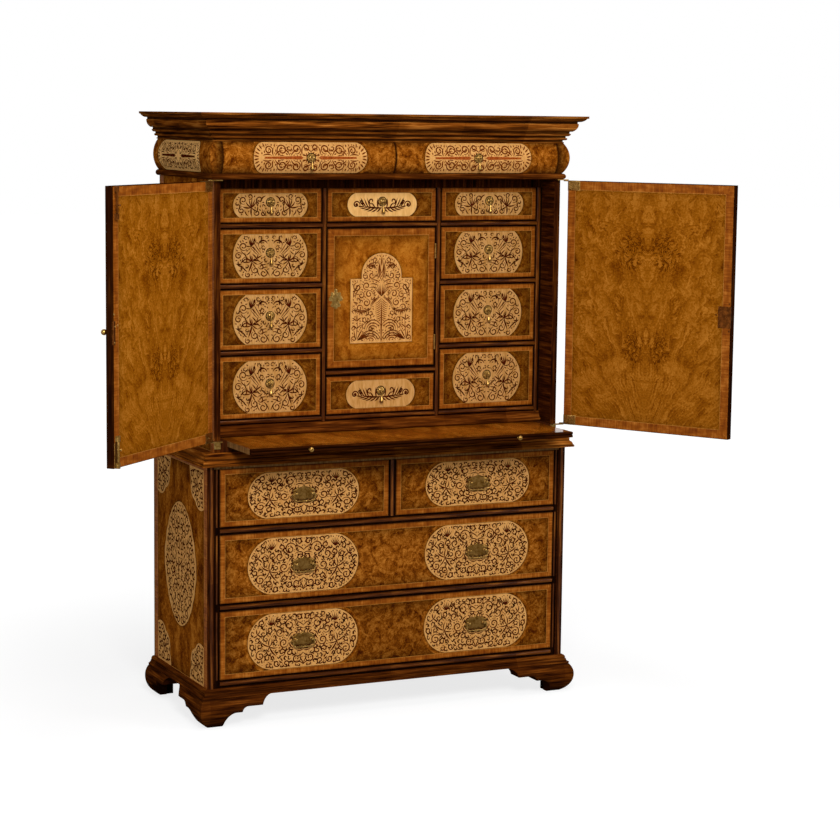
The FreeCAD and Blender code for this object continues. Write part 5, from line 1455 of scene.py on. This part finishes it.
def corner_panel(piece, face):
    """A corner's ground, the dark line along its lobes, and its scrolls."""
    lay = front_lay(0.0, face, 0.0)
    edge = corner_edge()
    fan = np.stack([edge, np.broadcast_to([0.35 * CORNER_WIDE, 0.35 * CORNER_HIGH], edge.shape)], 1)
    piece.add(lay(fan, LIFT), boxwood, fan)
    rim = np.stack([beside(edge, LINE_WIDTH), edge], 1)[1:-1]
    piece.add(lay(rim, LIFT), dark_line, rim)
    lay_strips(piece, corner_strips, lay, scroll_wood, sides=(1,))


def case_side(piece, sign, half, y, z, thick, corners):
    """One veneered side: the shape is drawn from the front and turned to look sideways."""
    turn = facing((0, sign, 0), (sign, 0, 0))
    piece.put(turn)
    x = sorted((sign * y[0], sign * y[1]))
    face, line = -half, SIDE_BAND - STRING_WIDTH
    lay_border(piece, x, z, [(0, face + thick), (0, face)], bead_walnut)
    lay_border(piece, x, z, [(0, face), (line, face)], crossband)
    lay_border(piece, x, z, [(line, face), (SIDE_BAND, face)], pale_string)
    field_x, field_z = drawn_in(x, SIDE_BAND), drawn_in(z, SIDE_BAND)
    shaded_field(piece, field_x, field_z, face, side_burr)
    flat_face(piece, x[::-1], z, face + thick, bead_walnut)
    middle = (sum(x) / 2, sum(z) / 2 + OVAL_RISE)
    lay = front_lay(middle[0], face, middle[1])
    lay_panel(piece, oval_edge(), lay, boxwood, side_burr, NO_LIMIT, middle)
    lay_strips(piece, oval_strips, lay, scroll_wood)
    for across, left in zip((1, -1), field_x) if corners else ():
        for upward, foot in zip((1, -1), field_z):
            piece.put(turn @ np.diag([across, 1, upward]), turn @ np.array((left, 0.0, foot)))
            corner_panel(piece, face)
    piece.put()


piece = Piece("chest_sides_dressed")
side_back = spans("chest_sides")[1][1]
for sign in (-1, 1):
    case_side(piece, sign, CHEST_HALF, (0.0, side_back), mm(84, 734), 20 * MM, True)
    bead(piece, "z", *mm(108, 723, sign * 538.5, 0, 5))
piece.build("carcass", "burl_walnut", ["chest_sides"])
piece = Piece("cabinet_sides_dressed")
_, y, z = spans("cabinet_sides")
for sign in (-1, 1):
    case_side(piece, sign, CABINET_HALF, y, z, 18 * MM, False)
piece.build("carcass", "burl_walnut", ["cabinet_sides"])

# %% [markdown]
# ## The two doors
# Each door is drawn closed, on the right-hand side, and then swung open about its pivot; the left one is
# mirrored first. The inner face, which the photograph shows, is opened like a book: two leaves mirrored
# about the upright middle line, so U is the distance from that line. The crossband is wide. The outer face
# is hidden here, and gets the same band and burr. The edges are dark solid walnut, darkened further with
# painted shade.

# %% Doors
DOOR_X, DOOR_Z = mm((1, 525), (790, 1489))
DOOR_FACE, DOOR_BACK, DOOR_BAND = mm(-8.5, 13.5, 25)
DOOR_RIM = mm(0, 6, 24, 70)
DOOR_CLEAR = np.array([0.68, 0.84, 0.95, 1.0])
PIVOT = mm(537.7, 2.5, 0)
RIGHT_ANGLE, LEFT_ANGLE = np.radians([120.7, -138.0])
BEHIND = np.diag([-1, -1, 1])


def swing(sign):
    """Open a door that was drawn closed: turn about its pivot, which is mirrored for the left one."""
    angle = RIGHT_ANGLE if sign > 0 else LEFT_ANGLE
    spin = np.array([[np.cos(angle), -np.sin(angle), 0], [np.sin(angle), np.cos(angle), 0], [0, 0, 1]])
    pivot = PIVOT * [sign, 1, 1]
    return lambda points: (points - pivot) @ spin.T + pivot


def book_face(piece, x, z, face):
    """Edge, band, string and a field whose U is the distance from its upright middle line."""
    inset, edge = DOOR_BAND + STRING_WIDTH, 1.5 * MM
    # The door's edges are darkened to 0.4: painted shade.
    lay_border(piece, x, z, [(0, face + 11 * MM), (0, face + edge), (edge, face)], bead_walnut, 0.4)
    lay_border(piece, x, z, [(edge, face), (DOOR_BAND, face)], crossband)
    lay_border(piece, x, z, [(DOOR_BAND, face), (inset, face)], pale_string)
    middle = (x[0] + x[1]) / 2
    columns = np.concatenate([x[0] + inset + DOOR_RIM, [middle], (x[1] - inset - DOOR_RIM)[::-1]])
    levels = np.concatenate([z[0] + inset + DOOR_RIM, (z[1] - inset - DOOR_RIM)[::-1]])
    shade = np.minimum.outer(np.concatenate([DOOR_CLEAR, [1.0], DOOR_CLEAR[::-1]]),
                             np.concatenate([DOOR_CLEAR, DOOR_CLEAR[::-1]]))
    folded = joined(np.abs(columns - middle)[:, None], levels - z[0])
    flat_face(piece, columns, levels, face, door_walnut, folded, shade)


doors = {"right_door": 1, "left_door": -1}
for name, sign in doors.items():
    piece = Piece(name + "_dressed")
    piece.put(mirror(sign))
    book_face(piece, DOOR_X, DOOR_Z, DOOR_FACE)
    piece.put(mirror(sign) @ BEHIND)
    book_face(piece, -DOOR_X[::-1], DOOR_Z, -DOOR_BACK)
    piece.build(name, "burl_walnut", [name], swing(sign))

# %% [markdown]
# ## The writing slide
# A thick board that runs out under the drawers. Its top is polished so well that the pulls mirror in it,
# which the low roughness gives. The front edge is worked into two beads.

# %% Writing slide
SLIDE_HALF, SLIDE_FRONT, SLIDE_BACK = mm(486, -160, 240)
SLIDE_LOW, SLIDE_HIGH = mm(772.3, 788.3)
SLIDE_MIDDLE = (SLIDE_LOW + SLIDE_HIGH) / 2
SLIDE_BAND, LIP_DEPTH, LIP_QUIRK, LIP_ROUND, VENEER = mm(30, 10, 1, 3.5, 0.3)

piece = Piece("writing_slide_dressed")
lip_back = SLIDE_FRONT + LIP_DEPTH
groove = SLIDE_FRONT + 0.3 * LIP_DEPTH
lip = outline((lip_back, SLIDE_LOW), (groove, SLIDE_LOW),
              ((SLIDE_FRONT, SLIDE_LOW + LIP_ROUND), (groove, SLIDE_MIDDLE - LIP_QUIRK)),
              (groove, SLIDE_MIDDLE + LIP_QUIRK),
              ((SLIDE_FRONT, SLIDE_HIGH - LIP_ROUND), (groove, SLIDE_HIGH)), (lip_back, SLIDE_HIGH), steps=10)
# The lip is darkened to 0.7, with more painted shade in its grooves.
run = straight_run(piece, SLIDE_HALF, lip, bead_walnut, 0.7 * hollow_shade(lip * [-1, 1], *mm(4, 0.8)))
for end in (0, 1):
    cap = np.stack([run[end], run[end] * [1, 0, 1] + [0, lip_back, 0]])
    piece.add(cap, bead_walnut, cap[..., [1, 2]], flip=end == 0)
span_x, span_y = (-SLIDE_HALF, SLIDE_HALF), (lip_back, SLIDE_BACK)
board(piece, (span_x, span_y, (SLIDE_LOW, SLIDE_HIGH - VENEER)), oak)
piece.put(np.array([[1, 0, 0], [0, 0, 1], [0, -1, 0]]))
rings = [(0, -SLIDE_HIGH + VENEER), (0, -SLIDE_HIGH), (SLIDE_BAND, -SLIDE_HIGH)]
lay_border(piece, span_x, span_y, rings, slide_walnut, 0.75)
flat_face(piece, drawn_in(span_x, SLIDE_BAND), drawn_in(span_y, SLIDE_BAND), -SLIDE_HIGH, slide_walnut)
piece.put()
piece.build("writing_slide", "walnut", ["writing_slide"])

# %% [markdown]
# ## Pulls, bails and knobs
# The small drawers hang pear drops from a pin in front of a fluted rosette. The chest's drawers have bail
# handles: a rod swells towards its middle and swings between two posts on a plate cut like a bat's wings.
# The fixed brass rides with its drawer, and the moving part rides on its own body.

# %% Pear-drop pulls
DROP_STAND_OFF, CHEEK_OFFSET, CHEEK_THICK, CHEEK_HALF = mm(8, 1.9, 1.2, 2)
PLATE_SHADOW = [(1.0, 0.3 * MM), (0.0, 0.32 * MM)]


def rosette(piece, x, face, level):
    """A round plate with a rolled rim, flutes and a boss, and the two cheeks that hold the pin."""
    angle = np.linspace(0, 2 * np.pi, 73)
    ripple = 0.9 * np.cos(14 * angle)
    edge = 12 * MM * around(angle)
    rings = [(1.0, 0.0), (1.0, 1.0), (0.96, 1.6), (0.88, 1.5), (0.82, 1.4 + ripple), (0.68, 1.7 + ripple),
             (0.56, 1.6), (0.52, 2.6), (0.42, 3.6), (0.25, 4.0), (0.0, 4.1)]
    lay = front_lay(x, face, level)
    domed_plate(piece, 1.14 * edge, PLATE_SHADOW, lay, dark_line)
    domed_plate(piece, edge, [(share, height * MM) for share, height in rings], lay, brass)
    cheek = mm((0, 0), (2.2, 0.1), (2.4, 0.6), (2.2, 1.1), (0, 1.2))
    for low_x in (x - CHEEK_OFFSET - CHEEK_THICK, x + CHEEK_OFFSET):
        turned(piece, cheek, (low_x, face - DROP_STAND_OFF, level), (1, 0, 0), brass, 16)
        board(piece, ((low_x, low_x + CHEEK_THICK), (face - DROP_STAND_OFF, face),
                      (level - CHEEK_HALF, level + CHEEK_HALF)), brass)


def pear_drop(piece, x, face, level):
    """An eye round the pin and a turned drop: collar, thin neck, pear and a small tip."""
    pin = np.array([x, face - DROP_STAND_OFF, level])
    eye = 1.95 * MM * around(np.linspace(0, 2 * np.pi, 25))
    rod(piece, pin + joined(0.0, *eye.T), 0.75 * MM, (1, 0, 0), brass, 10)
    profile = mm((0, 2.2), (1.3, 2.3), (1.5, 3.2), (2.3, 4.0), (2.4, 4.7), (1.6, 5.6), (1.45, 8), (1.6, 12),
                 (2.5, 16.5), (3.8, 21.5), (5.2, 26), (5.9, 28.6), (5.7, 30.6), (4.6, 32.4), (2.6, 33.6),
                 (0, 34.0))
    turned(piece, profile, pin, (0, 0, -1), brass, 20)


pulls = {name: NEST_FACE for name in nest_names + centre_names}
pulls.update({"frieze_drawer_left": -5 * MM, "frieze_drawer_right": -5 * MM})
for name, face in pulls.items():
    x, _, z = spans(name)
    place = (sum(x) / 2, face, sum(z) / 2 + (0 if name.startswith("frieze") else PULL_RISE))
    piece = Piece(name + "_rosette")
    rosette(piece, *place)
    piece.build(name, "brass")
    pull_name = name.replace("drawer", "pull")
    piece = Piece(pull_name + "_dressed")
    pear_drop(piece, *place)
    piece.build(pull_name, "brass", [pull_name])

# %% Bail handles
PLATE_SIZE = np.array([37, 23])
POST_OFFSET, BAIL_OFF, BAIL_DROP = mm(24, 7, 20)
wing = [(0.0, -1.0), ((0.3, -0.75), (0.5, -0.72)), ((0.8, -0.65), (1.0, -0.2)), ((0.86, 0.1), (1.0, 0.4)),
        ((0.7, 0.55), (0.5, 0.75)), ((0.3, 0.72), (0.0, 1.0))]


def plate_outline(moves, size, steps):
    """A closed plate from its right half, given as shares of its half width and half height in mm."""
    half = MM * outline(*[np.array(move) * size for move in moves], steps=steps)
    return np.concatenate([half, (half * [-1, 1])[::-1][1:]])


plate_edge = plate_outline(wing, PLATE_SIZE, 6)


def batwing(piece, x, face, level):
    """The plate with a bevelled edge, and two turned posts that stand on it."""
    rings = [(1.0, 0.0), (1.0, 1.0 * MM), (0.93, 1.9 * MM), (0.5, 2.1 * MM), (0.0, 2.1 * MM)]
    lay = front_lay(x, face, level)
    domed_plate(piece, 1.05 * plate_edge, PLATE_SHADOW, lay, dark_line)
    domed_plate(piece, plate_edge, rings, lay, plate_brass)
    post = mm((5.0, 1.6), (5.2, 2.4), (4.2, 3.2), (3.2, 4.2), (3.4, 5.0), (4.1, 6.2), (4.1, 8.6), (3.4, 10.2),
              (1.8, 11.0), (0, 11.1))
    for side in (-1, 1):
        turned(piece, post, (x + side * POST_OFFSET, face, level), (0, -1, 0), brass, 18)


def bail(piece, x, face, level):
    """A rod from post to post: down the arm, round the bend and along a grip that swells in its middle."""
    half = outline((25.0, 0.0), (31.6, 0.0), (31.6, -11.0), ((28.96, -17.36), (22.6, -20.0)), (8.0, -20.0),
                   steps=8)
    path = np.concatenate([half, (half * [-1, 1])[::-1]]) * MM
    away = np.abs(path[:, 0]) + 2 * MM * (path[:, 1] > -19 * MM)
    swell = np.interp(away, mm(0, 9, 24, 34), mm(2.4, 2.4, 2.0, 1.8))
    rod(piece, joined(x + path[:, 0], face - BAIL_OFF, level + path[:, 1]), swell, (0, 1, 0), brass)
    grip = mm((0, -5), (2.0, -4.8), (3.0, -3.4), (2.6, -2.4), (2.9, 0), (2.6, 2.4), (3.0, 3.4), (2.0, 4.8),
              (0, 5))
    turned(piece, grip, (x, face - BAIL_OFF, level - BAIL_DROP), (1, 0, 0), brass, 16)


bails = {"top": ("short_drawer_left", "short_drawer_right"), "middle": ("long_drawer_upper",) * 2,
         "bottom": ("long_drawer_lower",) * 2}
for row, drawer_names in bails.items():
    for side_name, sign, drawer_name in zip(("left", "right"), (-1, 1), drawer_names):
        place = (sign * HANDLE_OFFSET, CHEST_FACE, sum(spans(drawer_name)[2]) / 2)
        piece = Piece("%s_%s_plate" % (side_name, row))
        batwing(piece, *place)
        piece.build(drawer_name, "brass")
        bail_name = "%s_%s_bail" % (side_name, row)
        piece = Piece(bail_name + "_dressed")
        bail(piece, *place)
        piece.build(bail_name, "brass", [bail_name])

# %% [markdown]
# ## Door and cupboard brass
# The doors hang on knife hinges at their top and bottom corners, whose engraved plates show on the inner
# face. The right door carries the lock, screwed on with round-headed nails, and the left one the strike and
# two barrel bolts. The cupboard has two butts and a pierced key plate. These pieces are drawn on the closed
# right-hand door too and swung with it.

# %% Knobs, hinges, lock and bolts
LOCK_LEVEL, LOCK_HALF, KNOB_X = mm(1128, 29.5, 18)
HINGE_INNER, HINGE_HIGH, LEAF_THICK = mm(485, 28, 2.6)
STRAP_STARTS, STRAP_LENGTH = (0, 68), 14
BOLT_X, BOLT_DEPTH, GRIP_PLACE = mm(-14, -18.5, 47)
SLIDE_KNOB_X, SLIDE_KNOB_SUNK = mm(315, 2.5)
KEY_X, KEY_LEVEL = mm(-139.5, 1160)
BUTT_PLACE, BUTT_LEVELS = (165.25, 82.6), (1289, 1031)
knob_profile = mm((0, 0), (6, 0), (6, 1.6), (5, 2.6), (3.4, 3.6), (3.0, 5.5), (3.4, 7.2), (5.6, 9.2),
                  (7.4, 11.6), (8, 14), (7.5, 17), (6, 19.6), (3.6, 21.4), (1.6, 21.9), (0, 22))
slide_knob_profile = knob_profile * [7 / 8, 13 / 22]
left_bolts = {"left_top_bolt": (DOOR_Z[1], -1, dark_brass), "left_bottom_bolt": (DOOR_Z[0], 1, brass)}


def nail(piece, x, face, z, radius, finish):
    """A round-headed nail on a face that looks forward."""
    dome = [(radius * np.cos(a), 0.55 * radius * np.sin(a)) for a in np.linspace(0, np.pi / 2, 6)]
    turned(piece, dome, (x, face, z), (0, -1, 0), finish, 14)


def engraved_plate(piece, x, z, face, finish):
    """A thin plate with a bevel, a sunk line inside it and two nails."""
    line = 3.2 * MM
    top, sunk = face - 0.3 * MM, face - 0.05 * MM
    rings = [(0, face + 0.8 * MM), (0, face - 0.1 * MM), (0.5 * MM, top), (line, top),
             (line + 0.3 * MM, sunk), (line + 0.7 * MM, sunk), (line + MM, top)]
    lay_border(piece, x, z, rings, finish)
    flat_face(piece, drawn_in(x, line + MM), drawn_in(z, line + MM), top, finish)
    for share in (0.25, 0.5):
        nail(piece, x[1] - share * (x[1] - x[0]), top + 0.6 * MM, (z[0] + z[1]) / 2, 2.2 * MM, finish)


def bolt_strap(piece, face, z, finish):
    """A bent strap that holds a bolt on a face, between two levels, with both its ends closed."""
    arc = MM * outline((-21, 0), (-19, 3), ((-14, 10), (-9, 3)), (-7, 0), steps=10)
    strap = joined(arc[:, :1], face - arc[:, 1:], np.array(z))
    piece.add(strap, finish)
    lid = np.stack([strap, strap * [1, 0, 1] + [0, face, 0]], 2)
    piece.add(lid[:, 0], finish, flip=True)
    piece.add(lid[:, 1], finish)


def lock_case(piece, face, wide, proud, nails, radius, nail_finish):
    """A dark plate at the lock's level and nails on or beside it, as (x, height over the lock)."""
    level = (LOCK_LEVEL - LOCK_HALF, LOCK_LEVEL + LOCK_HALF)
    board(piece, (mm(-wide, -1), (face - proud, face + 4 * MM), level), dark_brass)
    for x, z in nails:
        on_plate = abs(z) < 29 and x > -wide
        nail(piece, x * MM, face - (proud if on_plate else 0), LOCK_LEVEL + z * MM, radius, nail_finish)


def door_brass(piece, turn, right):
    """All brass of one door, drawn on the closed right-hand door."""
    piece.put(turn)
    turned(piece, knob_profile, (KNOB_X, DOOR_FACE, LOCK_LEVEL), (0, -1, 0), brass)
    for level in (DOOR_Z[0] - 0.1 * MM, DOOR_Z[1] - 2.5 * MM):
        board(piece, ((HINGE_INNER, PIVOT[0]), mm(-4.5, 9.5), (level, level + LEAF_THICK)), brass)
        turned(piece, mm((0, 0), (7, 0), (7, 2.6), (0, 2.6)), PIVOT + [0, 0, level], (0, 0, 1), brass, 24)
    piece.put(turn @ BEHIND)
    face, foot = -DOOR_BACK, DOOR_Z[0]
    for z in ((DOOR_Z[1] - HINGE_HIGH, DOOR_Z[1]), (foot, foot + HINGE_HIGH)):
        engraved_plate(piece, (-DOOR_X[1], -HINGE_INNER), z, face, brass)
    if right:
        nails = ((-46, 6), (-6, 38), (-6, -38), (-34, 22), (-34, -22), (-12, 0))
        lock_case(piece, face, 40, 1.2 * MM, nails, 2.6 * MM, dark_brass)
    else:
        nails = ((-5, 46), (-8, 16), (-22, 18), (-5, -24))
        lock_case(piece, face, 9.3, 1.0 * MM, nails, 2.4 * MM, brass)
        board(piece, (mm(-25, -3), (face - 0.8 * MM, face + MM), (foot + MM, foot + 66 * MM)), brass)
        for end, inwards, finish in left_bolts.values():
            for start in STRAP_STARTS:
                z = sorted((end + inwards * start * MM, end + inwards * (start + STRAP_LENGTH) * MM))
                bolt_strap(piece, face, z, finish)
    piece.put()


# %% Brass of the doors, slide and cupboard
for name, sign in doors.items():
    piece = Piece(name + "_brass_dressed")
    door_brass(piece, mirror(sign), sign > 0)
    piece.build(name, "brass", [name + "_brass"], swing(sign))

for name, (end, inwards, finish) in left_bolts.items():
    piece = Piece(name + "_dressed")
    piece.put(mirror(-1) @ BEHIND)
    place = np.array([BOLT_X, BOLT_DEPTH, end])
    barrel = mm((0, 0), (2.4, 0), (3, 0.8), (3, 40), (3, 81), (2.4, 82), (0, 82))
    turned(piece, barrel, place, (0, 0, inwards), finish)
    grip = mm((1.8, 1), (1.8, 4.5), (2.8, 6), (3.0, 7.4), (2.2, 8.8), (0, 9))
    turned(piece, grip, place + [0, 0, inwards * GRIP_PLACE], (0, -1, 0), finish, 14)
    piece.build(name, "brass", [name], swing(-1))

piece = Piece("slide_knobs_dressed")
for sign in (-1, 1):
    place = (sign * SLIDE_KNOB_X, SLIDE_FRONT + SLIDE_KNOB_SUNK, SLIDE_MIDDLE)
    turned(piece, slide_knob_profile, place, (0, -1, 0), brass)
piece.build("writing_slide", "brass", ["slide_knobs"])

piece = Piece("cupboard_brass_dressed")
key_moves = [(0.0, -1.0), ((0.2, -0.95), (0.3, -0.78)), ((0.6, -0.8), (0.75, -0.55)),
             ((0.58, -0.4), (0.62, -0.22)),
             ((1.0, -0.15), (0.95, 0.15)), ((0.8, 0.3), (0.55, 0.3)), ((0.78, 0.5), (0.55, 0.68)),
             ((0.35, 0.62), (0.22, 0.72)), ((0.2, 0.9), (0.0, 1.0))]
key_plate = plate_outline(key_moves, np.array([20, 28]), 10)
ripple = np.cos(18 * np.linspace(0, 2 * np.pi, len(key_plate)))
rings = [(1.0, 0.0), (1.0, 0.6), (0.93, 1.0), (0.8, 0.9 + 0.3 * ripple), (0.62, 1.0 + 0.25 * ripple),
         (0.4, 1.2), (0.0, 1.2)]
lay = front_lay(KEY_X, NEST_FACE, KEY_LEVEL)
domed_plate(piece, key_plate, [(share, height * MM) for share, height in rings], lay, brass)
knuckle = mm((0, -21), (2.0, -21), (2.4, -20.4), (2.4, -7.4), (2.0, -7.2), (2.0, 7.2), (2.4, 7.4),
             (2.4, 20.4), (2.0, 21), (0, 21))
for level in BUTT_LEVELS:
    turned(piece, knuckle, mm(*BUTT_PLACE, level), (0, 0, 1), brass, 16)
piece.build("cupboard", "brass", ["cupboard_brass"])

# %% [markdown]
# ## Boards that stay as they are
# The hidden boards, the back panels, the lock's bolt and the hinges' fixed plates already have their true
# shapes as solids, so they stay and only get their finish.

# %% Finishes for kept solids
kept = {"cabinet_boards": dark_walnut, "case_backs": oak, "chest_boards": oak, "hinge_plates": brass,
        "lock_bolt": brass}
for name, finish in kept.items():
    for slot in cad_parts[name].material_slots:
        slot.material = finish
print("kept solids:", ", ".join(kept))

# %% [markdown]
# ## Floor and light
# The picture is a studio shot on white. The floor glows for rays that come from the camera, a little below
# white near the piece, and its own reflected light lifts it to white outside the shadow. Shiny surfaces see
# less of that glow, which keeps dark polish dark. The world is white to the camera, and for shiny surfaces
# white behind the piece and dim in front. A large soft lamp stands in front and above, a weaker one fills
# from the right, one hangs overhead for the tops, and one stands on the left for the chest's side.

# %% Floor
scene = bpy.context.scene
scene.view_settings.view_transform = "Standard"
FLOOR_GLOW, FLOOR_REACH = 0.79, 30.0
WORLD_LIGHT = 0.22
WHITE = (1, 1, 1, 1)


def seen_directly(tree):
    """The light path's outputs, and one for rays that come from the camera, straight or through glass."""
    path = add_node(tree, "LightPath").outputs
    return path, add_node(tree, "Math", {0: path["Is Camera Ray"], 1: path["Is Transmission Ray"]},
                          operation="MAXIMUM")


floor_mesh = bpy.data.meshes.new("floor")
corners = [(x * FLOOR_REACH, y * FLOOR_REACH, 0) for x, y in ((-1, -1), (1, -1), (1, 1), (-1, 1))]
floor_mesh.from_pydata(corners, [], [(0, 1, 2, 3)])
floor = bpy.data.objects.new("floor", floor_mesh)
scene.collection.objects.link(floor)
paper, tree, surface, ground = start_finish("white_paper", "Object", Roughness=0.9, Specular_IOR_Level=0.0)
surface.inputs["Base Color"].default_value = linear("#8a8a8a")
path, seen = seen_directly(tree)
metal = add_node(tree, "Math", {0: path["Is Glossy Ray"], 1: 0.3}, operation="MULTIPLY")
seen = add_node(tree, "Math", {0: seen, 1: metal}, operation="MAXIMUM")
distance = add_node(tree, "VectorMath", {0: ground}, operation="LENGTH").outputs["Value"]
white = add_node(tree, "MapRange", {"Value": distance, "From Min": 0.9, "From Max": 3.2, "To Min": FLOOR_GLOW,
                                    "To Max": 1.0})
glow = add_node(tree, "Math", {0: seen, 1: white}, operation="MULTIPLY")
surface.inputs["Emission Color"].default_value = WHITE
tree.links.new(glow.outputs[0], surface.inputs["Emission Strength"])
floor_mesh.materials.append(paper)

# %% World
world = bpy.data.worlds.new("studio")
world.use_nodes = True
scene.world = world
tree = world.node_tree
sky = tree.nodes["Background"]
path, seen = seen_directly(tree)
direction = add_node(tree, "TexCoord").outputs["Generated"]
split = add_node(tree, "SeparateXYZ", {"Vector": direction}).outputs
studio = add_node(tree, "MapRange", {"Value": split["Y"], "From Min": -0.1, "From Max": 0.5, "To Min": 0.2,
                                     "To Max": 1.0})
shiny = add_node(tree, "Mix", {0: path["Is Glossy Ray"], 2: WORLD_LIGHT, 3: studio}, data_type="FLOAT")
strength = add_node(tree, "Mix", {0: seen, 2: shiny, 3: 1.0}, data_type="FLOAT")
sky.inputs["Color"].default_value = WHITE
tree.links.new(strength.outputs[0], sky.inputs["Strength"])

# %% Lamps


def lamp(name, place, target, size, power):
    """A square soft lamp at a place, turned to a target."""
    data = bpy.data.lights.new(name, "AREA")
    data.size = size
    data.energy = power
    light = bpy.data.objects.new(name, data)
    scene.collection.objects.link(light)
    direction = np.array(target) - np.array(place)
    away = -direction / np.linalg.norm(direction)
    right = np.cross((0, 0, 1), away)
    right /= np.linalg.norm(right)
    turn = np.column_stack([right, np.cross(away, right), away])
    light.matrix_world = Matrix.Translation(place) @ Matrix(turn.tolist()).to_4x4()


lamp("key", (-1.6, -4.4, 3.6), (0, 0, 1.0), 1.6, 215)
lamp("fill", (3.6, -3.6, 2.6), (0.2, 0, 0.9), 2.0, 70)
lamp("top", (0.2, -0.8, 4.4), (0, 0.1, 0.8), 1.6, 60)
lamp("left", (-4.4, -1.4, 1.2), (-0.55, 0.2, 0.7), 1.8, 36)
print("lamps: key, fill, top, left")
